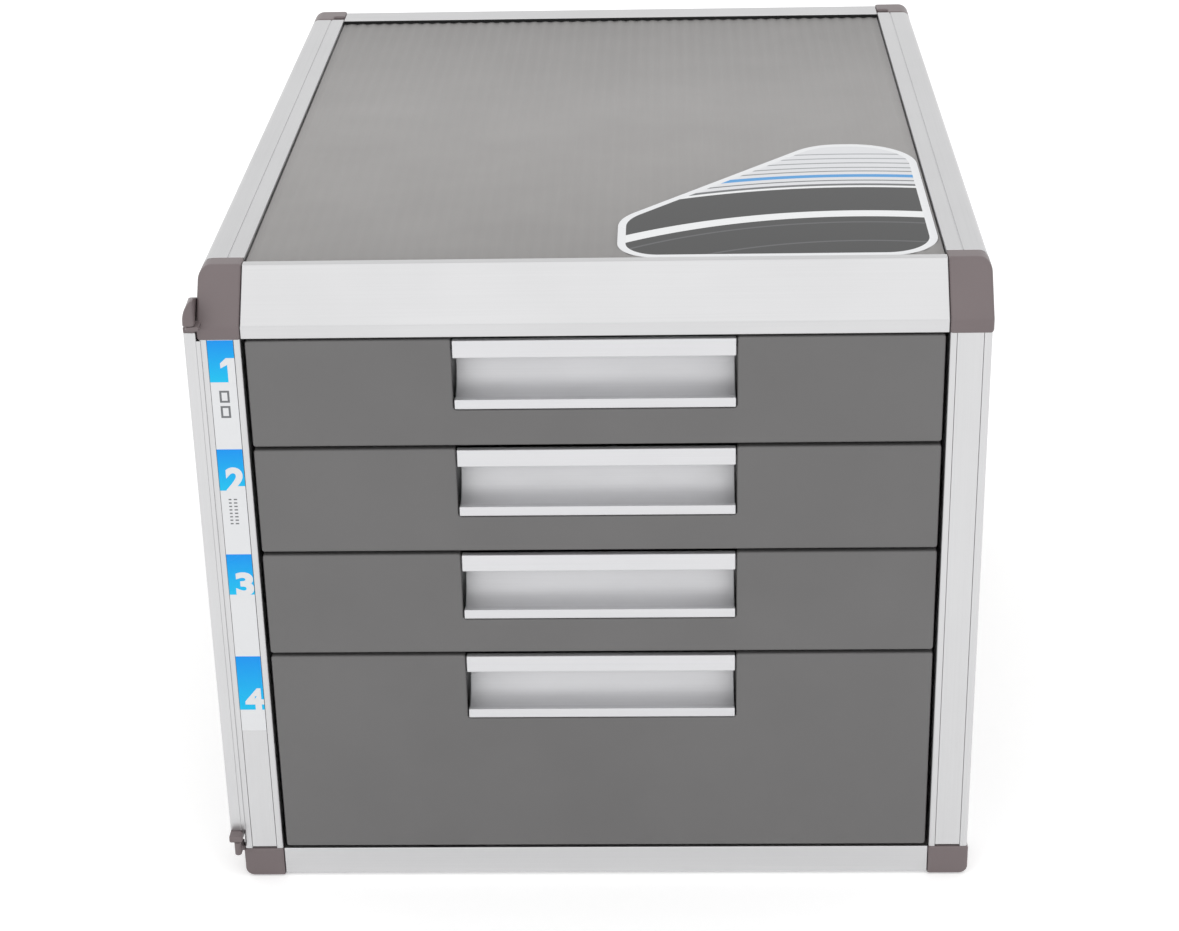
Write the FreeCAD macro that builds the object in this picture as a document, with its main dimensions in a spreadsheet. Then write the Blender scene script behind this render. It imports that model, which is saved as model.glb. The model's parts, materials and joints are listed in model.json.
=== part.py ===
import FreeCAD, Part
import os
import Sketcher

# A desktop drawer cabinet for A4 paper: an aluminium frame with plastic corner pieces,
# sheet panels, three shallow drawers over one deep drawer, and a bar on the left side
# that swings across the front to keep the drawers shut.
# Millimetres. X to the right, Y to the rear, Z up. The origin is on the floor, under the
# middle of the frame. Every drawer is shut and the bar lies folded back along the side.

document = FreeCAD.newDocument("drawer_cabinet")

SIZES = [
    # The opening and the frame round it
    ("opening_width", 268.0, "clear width between the front posts"),
    ("opening_height", 229.3, "clear height between the front rails"),
    ("frame_depth", 378.6, "front face of the front posts to rear face of the rear posts"),
    ("post_width", 16.0, "post, across the front"),
    ("post_depth", 22.0, "post, front to rear"),
    ("post_wall", 1.6, "wall of the post"),
    ("post_corner", 1.0, "rounded corner of the post"),
    ("hollow_inset", 5.0, "outer side of the post to its hollow"),
    ("slot_inset", 1.2, "outer face of the frame to the slot that holds a panel"),
    ("slot_depth", 5.0, "depth of the slot for a side panel"),
    ("back_slot_depth", 4.0, "depth of the slot for the back panel"),
    ("top_rail_height", 24.4, "top rails"),
    ("top_rail_lip", 5.3, "upright lip of the front top rail, below its slope"),
    ("top_rail_slope", 15.4, "slope of the front top rail, front to rear"),
    ("top_front_depth", 19.3, "front top rail, front to rear"),
    ("top_rear_depth", 17.0, "rear top rail, front to rear"),
    ("rail_wall", 1.6, "wall of a rail"),
    ("rail_round", 3.4, "rounded outer top edge of a rail"),
    ("groove_inset", 6.0, "inner edge of a top side rail to its groove"),
    ("groove_width", 0.5, "fine groove along a top side rail"),
    ("groove_depth", 0.4, "depth of that groove"),
    ("bottom_rail_height", 12.4, "bottom rails"),
    ("bottom_rail_depth", 16.0, "front and rear bottom rails, front to rear"),
    ("ledge_width", 4.0, "ledge that carries the top or bottom panel"),
    ("ledge_thickness", 1.6, "thickness of that ledge"),
    ("joint_gap", 0.15, "end of a rail to its corner piece"),
    # The strips let into the front posts
    ("strip_inset", 3.2, "outer side of the post to the strip"),
    ("strip_width", 10.0, "strip in the face of a front post"),
    ("strip_thickness", 1.2, "thickness of the strip, which lies flush"),
    ("strip_side_gap", 0.15, "fine gap on either side of the strip"),
    ("strip_end_gap", 1.0, "open end of the channel, above the foot"),
    # Panels
    ("panel_thickness", 1.0, "every panel"),
    ("panel_fold", 5.0, "turned-down edges of the top panel"),
    ("panel_gap", 0.5, "fine gap round the top and bottom panels"),
    ("panel_rear_gap", 1.5, "top panel to the rear rail"),
    ("panel_recess", 1.4, "top panel, below the top of the rails"),
    ("slot_play", 0.1, "panel to either side of its slot"),
    ("panel_end_gap", 0.3, "edge of a side or back panel to what it faces"),
    # Corner pieces and feet
    ("corner_proud", 0.5, "corner pieces, outside the frame"),
    ("corner_rise", 0.2, "top corner pieces, above the rails"),
    ("corner_depth", 23.8, "front top corner piece, behind the face of the frame"),
    ("rear_corner_depth", 14.7, "rear top corner piece, ahead of the rear face"),
    ("corner_round", 5.0, "rounded upper outer edge of a corner piece"),
    ("foot_height", 13.1, "foot corner pieces"),
    ("foot_round", 3.5, "rounded lower outer edge of a foot"),
    ("spigot_length", 12.0, "spigots that plug into the posts and rails"),
    ("spigot_gap", 0.15, "spigot to the wall round it"),
    ("notch_width", 5.4, "small notch in the top of a rear corner piece"),
    ("notch_length", 5.0, "that notch, front to rear"),
    ("notch_depth", 2.4, "depth of that notch"),
    ("pad_radius", 4.5, "rubber pad under a foot"),
    ("pad_thickness", 1.6, "thickness of the pad"),
    ("pad_proud", 0.4, "pad, below the foot"),
    ("pad_gap", 0.1, "pad to its recess"),
    # Drawer fronts
    ("front_top_gap", 1.0, "top rail to the first drawer front"),
    ("front_gap", 1.4, "between drawer fronts"),
    ("front_bottom_gap", 0.9, "deep drawer front to the bottom rail"),
    ("front_side_gap", 1.4, "drawer front to the posts"),
    ("shallow_height", 44.2, "front of a shallow drawer"),
    ("front_sheet", 1.8, "face of a drawer front"),
    ("skirt_depth", 15.2, "turned edges of a drawer front, front to rear"),
    ("skirt_wall", 1.5, "thickness of the turned edges"),
    ("boss_spread", 200.0, "between the left and right screw bosses"),
    ("boss_radius", 3.5, "screw boss behind a drawer front"),
    ("boss_bore", 1.5, "radius of the hole in a boss"),
    ("boss_bore_depth", 9.0, "depth of that hole"),
    # Screws
    ("screw_radius", 1.4, "shank of a screw"),
    ("screw_reach", 7.5, "shank inside the boss"),
    ("screw_head_radius", 3.0, "head of a screw"),
    ("screw_head_height", 1.8, "height of the head"),
    ("screw_hole_gap", 0.3, "shank to the hole in the tray"),
    # Handles
    ("handle_length", 107.6, "handle profile"),
    ("handle_height", 28.3, "handle profile, top to bottom"),
    ("handle_bar", 7.1, "bar above the finger opening"),
    ("handle_lip", 3.9, "lip below the finger opening"),
    ("handle_radius", 11.8, "inside of the round trough"),
    ("handle_wall", 1.3, "wall of the trough"),
    ("handle_flange", 4.0, "flange below the lip, against the back of the front"),
    ("handle_drop", 0.5, "top of the front to the top of the handle"),
    ("handle_gap", 0.4, "handle to the edges of its window"),
    # Trays
    ("tray_wall", 0.9, "sheet of the trays"),
    ("tray_length", 335.0, "tray, front to rear"),
    ("tray_lift", 3.0, "bottom of the front to the bottom of the tray"),
    ("rim_drop", 10.0, "top of the front to the rim of the tray"),
    ("drawer_travel", 250.0, "how far a drawer comes out"),
    # Runners
    ("runner_width", 6.4, "runner, inwards from the post"),
    ("runner_web", 1.6, "upright wall of the runner"),
    ("runner_lip", 1.4, "upper and lower lips of the runner"),
    ("running_gap", 0.3, "rim to the runner, above and below"),
    ("rim_side_gap", 0.5, "rim to the wall of the runner"),
    ("tray_side_gap", 0.6, "side of the tray to the runner"),
    ("catch_height", 1.3, "catch on the rim"),
    ("catch_length", 6.0, "length of the catch"),
    ("stop_length", 4.0, "stop inside the front end of the runner"),
    ("stop_gap", 0.4, "rim to the stop above it"),
    ("end_gap", 0.3, "drawer to its stops at either end of its travel"),
    ("runner_setback", 0.4, "turned edge of the front to the runner"),
    ("runner_seat", 7.0, "runner, along the rear post"),
    ("peg_radius", 1.5, "pegs that hold a runner in the posts"),
    ("peg_gap", 0.1, "peg to its hole"),
    ("peg_short", 0.2, "end of a peg, short of the inside of the wall of the post"),
    # The swinging bar
    ("bar_thickness", 4.6, "bar, end caps included"),
    ("bar_width", 24.8, "bar, front to rear when folded back"),
    ("bar_wall", 1.2, "wall of the bar"),
    ("bar_clear", 0.3, "end caps to the corner pieces, folded back or shut"),
    ("bar_offset", 3.6, "hinge axis to the near edge of the bar"),
    ("hinge_inset", 1.4, "face of the bar nearest the cabinet to the hinge axis"),
    ("knuckle_radius", 1.4, "lug round the hinge axis, and axis to the front of a knuckle"),
    ("knuckle_reach", 2.2, "hinge axis to the side of a knuckle nearest the cabinet"),
    ("knuckle_depth", 2.8, "hinge axis to the rear edge of that side"),
    ("pin_radius", 0.7, "hinge pin"),
    ("pin_running_gap", 0.05, "pin in the lug"),
    ("pin_press_gap", 0.01, "pin in the knuckle"),
    ("pin_end", 0.4, "material past either end of the pin"),
    ("bar_top_rise", 3.0, "lower edge of the top cap, above the opening"),
    ("cap_height", 15.0, "top cap"),
    ("cap_round", 13.8, "rounded shoulder of the top cap"),
    ("cap_round_rise", 3.5, "lower edge of the top cap to the middle of its shoulder"),
    ("cap_fall", 9.5, "slope of the top cap, from its front end to its rear end"),
    ("low_cap_height", 5.4, "bottom cap"),
    ("low_knuckle_height", 2.7, "knuckle of the bottom cap"),
    ("low_cap_rise", 3.6, "foot to the lower edge of the bottom cap"),
    ("lug_rise", 2.5, "lower edge of the top cap to the lug of the top corner piece"),
    ("lug_height", 1.8, "hinge lug on the top corner piece"),
    ("low_lug_height", 2.0, "arm of the hinge lug on the foot, and its root below the arm"),
    ("lug_root", 1.4, "lug, into the corner piece"),
    ("lug_gap", 0.3, "lug to the knuckle above it"),
    ("lug_clear", 0.7, "far corner of the lug to the cap that swings past"),
    # Labels
    ("label_thickness", 0.15, "index label and top label"),
    ("label_length", 172.0, "index label on the left strip"),
    ("badge_width", 123.9, "top label, left to right"),
    ("badge_side_gap", 0.9, "top label to the right edge of the top panel"),
    ("badge_front", 1.8, "top label, behind the front edge of the top panel"),
    ("badge_depth", 135.3, "top label, front to rear"),
    ("badge_apex", 42.0, "rear edge of the top label, left to right"),
    ("badge_tip", 44.3, "left edge of the top label, front to rear"),
    ("badge_tip_round", 16.0, "rounded left front corner of the top label"),
    ("badge_slant_round", 24.0, "rounded ends of the slanted edge of the top label"),
    ("badge_rear_round", 27.0, "rounded right rear corner of the top label"),
    ("badge_front_round", 21.0, "rounded right front corner of the top label"),
]

sheet = document.addObject("Spreadsheet::Sheet", "Sizes")
for row, (alias, value, meaning) in enumerate(SIZES, start=1):
    sheet.set(f"A{row}", meaning)
    sheet.set(f"B{row}", str(value))
    sheet.setAlias(f"B{row}", alias)
document.recompute()


class Length:
    """A size worked out from the sheet: its formula and its value in millimetres."""

    def __init__(self, formula, value):
        self.formula = formula
        self.value = value

    def combine(self, other, sign, value):
        return Length(f"({self.formula} {sign} {formula_of(other)})", value)

    def __add__(self, other):
        return self.combine(other, "+", self.value + value_of(other))

    def __sub__(self, other):
        return self.combine(other, "-", self.value - value_of(other))

    def __mul__(self, factor):
        return self.combine(factor, "*", self.value * value_of(factor))

    def __truediv__(self, factor):
        return self.combine(factor, "/", self.value / value_of(factor))

    def __neg__(self):
        return Length(f"(0 - {self.formula})", -self.value)


def value_of(item):
    return item.value if isinstance(item, Length) else item


def formula_of(item):
    return item.formula if isinstance(item, Length) else str(item)


def size(alias):
    """One named size from the sheet."""
    return Length(f"Sizes.{alias}", float(sheet.get(alias)))


def hypotenuse(across, along):
    """The long side of a right triangle."""
    return Length(f"sqrt({across.formula} ^ 2 + {along.formula} ^ 2)",
                  (across.value ** 2 + along.value ** 2) ** 0.5)


def smaller(first, second):
    """The smaller of two lengths."""
    return Length(f"min({first.formula}; {second.formula})", min(first.value, second.value))


# Shared planes and places

half_opening = size("opening_width") / 2
half_width = half_opening + size("post_width")
front = -(size("frame_depth") / 2)
rear = size("frame_depth") / 2
proud = size("corner_proud")
foot_bottom = size("pad_proud")
opening_bottom = foot_bottom + size("foot_height")
opening_top = opening_bottom + size("opening_height")
frame_top = opening_top + size("top_rail_height")
rail_bottom = opening_bottom - size("bottom_rail_height")
panel_top = frame_top - size("panel_recess")
panel_seat = panel_top - size("panel_fold")
corner_top = frame_top + size("corner_rise")
top_crease = opening_top + size("top_rail_lip")
slope_run = size("top_rail_slope")
slope_rise = frame_top - top_crease
wall = size("rail_wall")
spigot_gap = size("spigot_gap")
spigot_length = size("spigot_length")

SIDES = {"left": -1, "right": 1}
ENDS = {"front": -1, "rear": 1}
DRAWERS = (1, 2, 3, 4)

nodes = []


def node(shape_object, label):
    """Name a finished piece: its label is also the name of its file."""
    shape_object.Label = label
    nodes.append(shape_object)
    return shape_object


def ordered(ends, side=1):
    """The low and high ends of a span; side -1 mirrors it."""
    low, high = ends
    return (low, high) if side > 0 else (-high, -low)


def place(thing, x, y, z):
    """Bind where a piece stands to the sheet."""
    for axis, coordinate in zip("xyz", (x, y, z)):
        thing.setExpression(f"Placement.Base.{axis}", coordinate.formula)


def box(name, x, y, z):
    """A block between two planes each way."""
    block = document.addObject("Part::Box", name)
    block.setExpression("Length", (x[1] - x[0]).formula)
    block.setExpression("Width", (y[1] - y[0]).formula)
    block.setExpression("Height", (z[1] - z[0]).formula)
    place(block, x[0], y[0], z[0])
    return block


TURNS = {
    "x": FreeCAD.Rotation(FreeCAD.Vector(0, 1, 0), 90),
    "y": FreeCAD.Rotation(FreeCAD.Vector(1, 0, 0), -90),
    "z": FreeCAD.Rotation(),
}


def rod(name, axis, start, radius, length):
    """A cylinder from a point, along +X, +Y or +Z."""
    cylinder = document.addObject("Part::Cylinder", name)
    cylinder.Placement = FreeCAD.Placement(FreeCAD.Vector(), TURNS[axis])
    cylinder.setExpression("Radius", radius.formula)
    cylinder.setExpression("Height", length.formula)
    place(cylinder, *start)
    return cylinder


def cut(name, base, *tools):
    """The base without the tools."""
    result = document.addObject("Part::Cut", name)
    result.Base = base
    result.Tool = tools[0] if len(tools) == 1 else fuse(name + "_tools", *tools)
    return result


def fuse(name, *pieces):
    """Several pieces as one."""
    result = document.addObject("Part::MultiFuse", name)
    result.Shapes = list(pieces)
    result.Refine = True
    return result


def common(name, first, second):
    """What two shapes share."""
    result = document.addObject("Part::Common", name)
    result.Base = first
    result.Tool = second
    return result


def origin_plane(body, role):
    return next(f for f in body.Origin.OriginFeatures if f.Role == role)


def outline(sketch, points):
    """A closed outline of straight lines through points given in named sizes."""
    first = sketch.GeometryCount
    corners = [FreeCAD.Vector(value_of(a), value_of(b), 0) for a, b in points]
    for start, end in zip(corners, corners[1:] + corners[:1]):
        sketch.addGeometry(Part.LineSegment(start, end), False)
    count = len(points)
    for index in range(count):
        line = first + index
        following = first + (index + 1) % count
        sketch.addConstraint(Sketcher.Constraint("Coincident", line, 2, following, 1))
    for index, (across, up) in enumerate(points):
        for kind, distance in (("DistanceX", across), ("DistanceY", up)):
            rule = Sketcher.Constraint(kind, -1, 1, first + index, 1, value_of(distance))
            number = sketch.addConstraint(rule)
            sketch.setExpression(f"Constraints[{number}]", distance.formula)


def profile(name, role, outlines, start, length):
    """A bar with the given cross-section, along the axis across its plane."""
    body = document.addObject("PartDesign::Body", name)
    sketch = body.newObject("Sketcher::SketchObject", name + "_section")
    sketch.AttachmentSupport = [(origin_plane(body, role), "")]
    sketch.MapMode = "FlatFace"
    for points in outlines:
        outline(sketch, points)
    pad = body.newObject("PartDesign::Pad", name + "_pad")
    pad.Profile = sketch
    pad.setExpression("Length", length.formula)
    pad.Reversed = role == "XZ_Plane"
    sketch.Visibility = False
    axis = {"XY_Plane": "z", "XZ_Plane": "y", "YZ_Plane": "x"}[role]
    body.setExpression(f"Placement.Base.{axis}", start.formula)
    document.recompute()
    return body


def round_edges(body, name, radius, chosen):
    """Round those edges of a body that the test chooses."""
    base = body.Tip
    edges = [f"Edge{i}" for i, edge in enumerate(base.Shape.Edges, 1) if chosen(edge)]
    rounding = body.newObject("PartDesign::Fillet", name)
    rounding.Base = (base, edges)
    rounding.setExpression("Radius", radius.formula)
    body.Tip = rounding
    document.recompute()
    return body


EXACT = 1e-6


def lies_at(edge, **places):
    """True if both ends of an edge have the given coordinates."""
    return all(
        abs(getattr(vertex.Point, axis) - value_of(wanted)) < EXACT
        for vertex in edge.Vertexes
        for axis, wanted in places.items()
    )


# Drawer places, from the top down

shallow = size("shallow_height")
pitch = shallow + size("front_gap")
first_top = opening_top - size("front_top_gap")


def front_span(number):
    """The lower and upper edges of a drawer front."""
    top = first_top - pitch * (number - 1)
    if number == DRAWERS[-1]:
        return opening_bottom + size("front_bottom_gap"), top
    return top - shallow, top


def rim_top(number):
    return front_span(number)[1] - size("rim_drop")


tray_wall = size("tray_wall")
lip = size("runner_lip")
running_gap = size("running_gap")
runner_inner = half_opening - size("runner_width")
tray_half = runner_inner - size("tray_side_gap")
rim_half = half_opening - size("runner_web") - size("rim_side_gap")
tray_front = front + size("skirt_depth")
tray_rear = tray_front + size("tray_length")
runner_front = tray_front + size("runner_setback")
runner_rear = rear - size("post_depth") + size("runner_seat")
stop_rear = runner_front + size("stop_length")
peg_front_y = (runner_front + front + size("post_depth")) / 2
peg_rear_y = (runner_rear + rear - size("post_depth")) / 2


def runner_span(number):
    """The underside and top of a runner."""
    low = rim_top(number) - tray_wall - running_gap - lip
    high = rim_top(number) + size("catch_height") + running_gap + lip
    return low, high


def peg_height(number):
    low, high = runner_span(number)
    return (low + high) / 2


# Posts

def post(side, end):
    """One hollow post, with its slots and the holes for the runner pegs."""
    across = SIDES[side]
    along = ENDS[end]
    name = f"post_{end}_{side}"
    face = front if end == "front" else rear
    depth = size("post_depth")
    width = size("post_width")

    def at(inset, behind):
        """A point so far in from the outer side and so far behind the outer face."""
        return (half_width - inset) * across, face - behind * along

    slot = size("slot_inset")
    slot_far = slot + size("panel_thickness") + size("slot_play") * 2
    slot_end = depth - size("slot_depth")
    strip_near = size("strip_inset") - size("strip_side_gap")
    strip_far = size("strip_inset") + size("strip_width") + size("strip_side_gap")
    strip = size("strip_thickness")
    back_slot_end = width - size("back_slot_depth")
    zero = Length("0", 0)
    if end == "front":
        edge = [
            at(zero, zero), at(strip_near, zero), at(strip_near, strip),
            at(strip_far, strip), at(strip_far, zero), at(width, zero), at(width, depth),
        ]
        hollow_near = strip + size("post_wall")
    else:
        edge = [
            at(zero, zero), at(width, zero), at(width, slot),
            at(back_slot_end, slot), at(back_slot_end, slot_far), at(width, slot_far),
            at(width, depth),
        ]
        hollow_near = slot_far + size("post_wall")
    edge += [
        at(slot_far, depth), at(slot_far, slot_end), at(slot, slot_end), at(slot, depth),
        at(zero, depth),
    ]
    hollow_in = size("hollow_inset")
    hollow_out = width - size("post_wall")
    hollow_far = depth - size("post_wall")
    hollow = [
        at(hollow_in, hollow_near), at(hollow_out, hollow_near),
        at(hollow_out, hollow_far), at(hollow_in, hollow_far),
    ]
    body = profile(name + "_bar", "XY_Plane", [edge, hollow], opening_bottom,
                   size("opening_height"))
    corner_x = half_width * across
    inner_x = half_opening * across
    round_edges(body, name + "_round", size("post_corner"), lambda item: any(
        lies_at(item, x=x, y=face) for x in (corner_x, inner_x)))
    peg_y = peg_front_y if end == "front" else peg_rear_y
    hole_depth = size("post_wall") * 2
    hole_x = ordered((half_opening, half_opening + hole_depth), across)[0]
    holes = [
        rod(f"{name}_hole_{number}", "x", (hole_x, peg_y, peg_height(number)),
            size("peg_radius") + size("peg_gap"), hole_depth)
        for number in DRAWERS
    ]
    return node(cut(name, body, *holes), name)


for end in ENDS:
    for side in SIDES:
        post(side, end)


def strip_in_post(side):
    """The strip that fills the channel in the face of a front post."""
    near = half_width - size("strip_inset") - size("strip_width")
    far = half_width - size("strip_inset")
    strip = box(f"post_strip_{side}", ordered((near, far), SIDES[side]),
                (front, front + size("strip_thickness")),
                (opening_bottom + size("strip_end_gap"), opening_top))
    return node(strip, f"post_strip_{side}")


for side in SIDES:
    strip_in_post(side)


# Rails

def ledge_points(inner, tip, seat, bottom):
    """The inner side of a rail, from its top down, with the ledge for a panel."""
    under = seat - size("ledge_thickness")
    return [(inner, seat), (tip, seat), (tip, under), (inner, under), (inner, bottom)]


def hollow_points(low_across, high_across, low, high):
    return [
        (low_across + wall, low + wall), (high_across - wall, low + wall),
        (high_across - wall, high - wall), (low_across + wall, high - wall),
    ]


def top_front_rail():
    """The front rail: an upright lip, then a slope back to the top panel."""
    back = front + size("top_front_depth")
    slant = hypotenuse(slope_run, slope_rise)
    edge = [(front, opening_top), (front, top_crease), (front + slope_run, frame_top),
            (back, frame_top)]
    edge += ledge_points(back, back + size("ledge_width"), panel_seat, opening_top)
    inner_top = frame_top - wall
    inner_crease = top_crease + wall * (slope_rise - slant) / slope_run
    inner_run = slope_run + wall * (slant - slope_run) / slope_rise
    hollow = [
        (front + wall, opening_top + wall), (front + wall, inner_crease),
        (front + inner_run, inner_top), (back - wall, inner_top),
        (back - wall, opening_top + wall),
    ]
    start = -half_opening + size("joint_gap")
    length = size("opening_width") - size("joint_gap") * 2
    return node(profile("rail_top_front", "YZ_Plane", [edge, hollow], start, length),
                "rail_top_front")


def top_rear_rail():
    """The rear rail: square at the panel, rounded at the rear."""
    inner = rear - size("top_rear_depth")
    edge = [(rear, opening_top), (rear, frame_top), (inner, frame_top)]
    edge += ledge_points(inner, inner - size("ledge_width"), panel_seat, opening_top)
    start = -half_opening + size("joint_gap")
    length = size("opening_width") - size("joint_gap") * 2
    body = profile("rail_top_rear", "YZ_Plane",
                   [edge, hollow_points(inner, rear, opening_top, frame_top)], start, length)
    round_edges(body, "rail_top_rear_round", size("rail_round"),
                lambda item: lies_at(item, y=rear, z=frame_top))
    return node(body, "rail_top_rear")


def top_side_rail(side):
    """A side rail: rounded outside, with a fine groove along its top."""
    across = SIDES[side]
    groove = half_opening + size("groove_inset")
    groove_far = groove + size("groove_width")
    groove_floor = frame_top - size("groove_depth")
    edge = [
        (half_width, opening_top), (half_width, frame_top), (groove_far, frame_top),
        (groove_far, groove_floor), (groove, groove_floor), (groove, frame_top),
        (half_opening, frame_top),
    ]
    edge += ledge_points(half_opening, half_opening - size("ledge_width"), panel_seat,
                         opening_top)
    hollow = hollow_points(half_opening, half_width, opening_top, frame_top)
    outlines = [[(x * across, z) for x, z in points] for points in (edge, hollow)]
    start = front + size("corner_depth") + size("joint_gap")
    end = rear - size("rear_corner_depth") - size("joint_gap")
    name = f"rail_top_{side}"
    body = profile(name + "_bar", "XZ_Plane", outlines, start, end - start)
    round_edges(body, name + "_round", size("rail_round"),
                lambda item: lies_at(item, x=half_width * across, z=frame_top))
    ledge_x = ordered((half_opening - size("ledge_width"), half_opening), across)
    ledge_front = front + size("top_front_depth") + size("ledge_width")
    ledge_rear = rear - size("top_rear_depth") - size("ledge_width")
    cuts = [
        box(f"{name}_{place_name}_cut", ledge_x, y, (opening_top, frame_top))
        for place_name, y in (("front", (front, ledge_front)), ("rear", (ledge_rear, rear)))
    ]
    return node(cut(name, body, *cuts), name)


def bottom_rail(name, role, outer, inner, start, length):
    """A bottom rail: a hollow bar with a ledge along its lower inner edge."""
    inward = 1 if value_of(inner) > value_of(outer) else -1
    tip = inner + size("ledge_width") * inward
    seat = rail_bottom + size("ledge_thickness")
    edge = [(outer, rail_bottom), (outer, opening_bottom), (inner, opening_bottom),
            (inner, seat), (tip, seat), (tip, rail_bottom)]
    low, high = (outer, inner) if inward > 0 else (inner, outer)
    hollow = hollow_points(low, high, rail_bottom, opening_bottom)
    return node(profile(name, role, [edge, hollow], start, length), name)


top_front_rail()
top_rear_rail()
for side in SIDES:
    top_side_rail(side)

cross_start = -half_opening + size("joint_gap")
cross_length = size("opening_width") - size("joint_gap") * 2
low_side_start = front + size("post_depth") + size("joint_gap")
low_side_length = size("frame_depth") - size("post_depth") * 2 - size("joint_gap") * 2
bottom_rail("rail_bottom_front", "YZ_Plane", front, front + size("bottom_rail_depth"),
            cross_start, cross_length)
bottom_rail("rail_bottom_rear", "YZ_Plane", rear, rear - size("bottom_rail_depth"),
            cross_start, cross_length)
for side, across in SIDES.items():
    bottom_rail(f"rail_bottom_{side}", "XZ_Plane", half_width * across,
                half_opening * across, low_side_start, low_side_length)


# Panels

panel = size("panel_thickness")
panel_half = half_opening - size("panel_gap")
top_panel_front = front + size("top_front_depth") + size("panel_gap")
top_panel_rear = rear - size("top_rear_depth") - size("panel_rear_gap")
top_sheet = box("panel_top_sheet", (-panel_half, panel_half), (top_panel_front, top_panel_rear),
                (panel_seat, panel_top))
top_inside = box("panel_top_inside", (panel - panel_half, panel_half - panel),
                 (top_panel_front + panel, top_panel_rear - panel),
                 (panel_seat, panel_top - panel))
node(cut("panel_top", top_sheet, top_inside), "panel_top")

floor_seat = rail_bottom + size("ledge_thickness")
floor_reach = size("bottom_rail_depth") + size("panel_gap")
node(box("panel_bottom", (-panel_half, panel_half), (front + floor_reach, rear - floor_reach),
         (floor_seat, floor_seat + panel)), "panel_bottom")

slot_near = size("slot_inset") + size("slot_play")
side_reach = size("post_depth") - size("slot_depth") + size("panel_end_gap")
panel_heights = (opening_bottom, opening_top - size("panel_end_gap"))
for side, across in SIDES.items():
    outer = half_width - slot_near
    node(box(f"panel_{side}", ordered((outer - panel, outer), across),
             (front + side_reach, rear - side_reach), panel_heights), f"panel_{side}")

back_half = half_opening + size("back_slot_depth") - size("panel_end_gap")
node(box("panel_back", (-back_half, back_half), (rear - slot_near - panel, rear - slot_near),
         panel_heights), "panel_back")


# Corner pieces

def spigot_up(name, side, end, z, depth_limit):
    """The spigot that plugs into the hollow of a post."""
    across = SIDES[side]
    along = ENDS[end]
    face = front if end == "front" else rear
    outer = half_width - size("hollow_inset") - spigot_gap
    inner = half_opening + size("post_wall") + spigot_gap
    if end == "front":
        near = size("strip_thickness") + size("post_wall") + spigot_gap
    else:
        slot_far = size("slot_inset") + size("panel_thickness") + size("slot_play") * 2
        near = slot_far + size("post_wall") + spigot_gap
    ends = (face - near * along, face - depth_limit * along)
    low, high = ends if along < 0 else (ends[1], ends[0])
    return box(name, ordered((inner, outer), across), (low, high), z)


hinge_x = -(half_width + proud + size("bar_clear") + size("hinge_inset"))
bar_back = size("bar_thickness") - size("hinge_inset")
hinge_y = front - proud - size("bar_clear") - bar_back
knuckle = size("knuckle_radius")
lug_inner_x = -half_width - proud + size("lug_root")
lug_inner_y = front - proud + size("lug_root") + size("lug_root") / 2
top_cap_z = (opening_top + size("bar_top_rise"),
             opening_top + size("bar_top_rise") + size("cap_height"))
top_lug_z = (top_cap_z[0] + size("lug_rise"),
             top_cap_z[0] + size("lug_rise") + size("lug_height"))
low_cap_z = (opening_bottom + size("low_cap_rise"),
             opening_bottom + size("low_cap_rise") + size("low_cap_height"))
low_knuckle_z = (low_cap_z[1] - size("low_knuckle_height"), low_cap_z[1])


def lug_pillar(name, z):
    """The round of a lug about the hinge axis, and the hole for the pin in it."""
    pillar = rod(name + "_pillar", "z", (hinge_x, hinge_y, z[0]), knuckle, z[1] - z[0])
    floor = z[0] + size("pin_end")
    bore = rod(name + "_bore", "z", (hinge_x, hinge_y, floor),
               size("pin_radius") + size("pin_running_gap"), z[1] - floor)
    return pillar, bore


def top_lug(name):
    """The lug of the top corner piece: a plate round the corner, with its hole."""
    pillar, bore = lug_pillar(name, top_lug_z)
    along = box(name + "_along", (hinge_x - knuckle, lug_inner_x), (hinge_y, lug_inner_y),
                top_lug_z)
    across = box(name + "_across", (hinge_x, lug_inner_x),
                 (hinge_y - knuckle, lug_inner_y), top_lug_z)
    return [pillar, along, across], bore


def low_lug(name):
    """The lug of the foot: a peg on an arm along its outer side, with its hole."""
    arm_end = lug_inner_y + size("lug_root") * 2
    arm_top = opening_bottom + size("low_lug_height")
    pillar, bore = lug_pillar(name, (opening_bottom, low_knuckle_z[0] - size("lug_gap")))
    arm = box(name + "_arm", (hinge_x - knuckle, hinge_x + knuckle), (hinge_y, arm_end),
              (opening_bottom, arm_top))
    root = box(name + "_root", (hinge_x - knuckle, lug_inner_x),
               (lug_inner_y - size("lug_root") / 2, arm_end),
               (opening_bottom - size("low_lug_height"), opening_bottom))
    return [pillar, arm, root], bore


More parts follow.
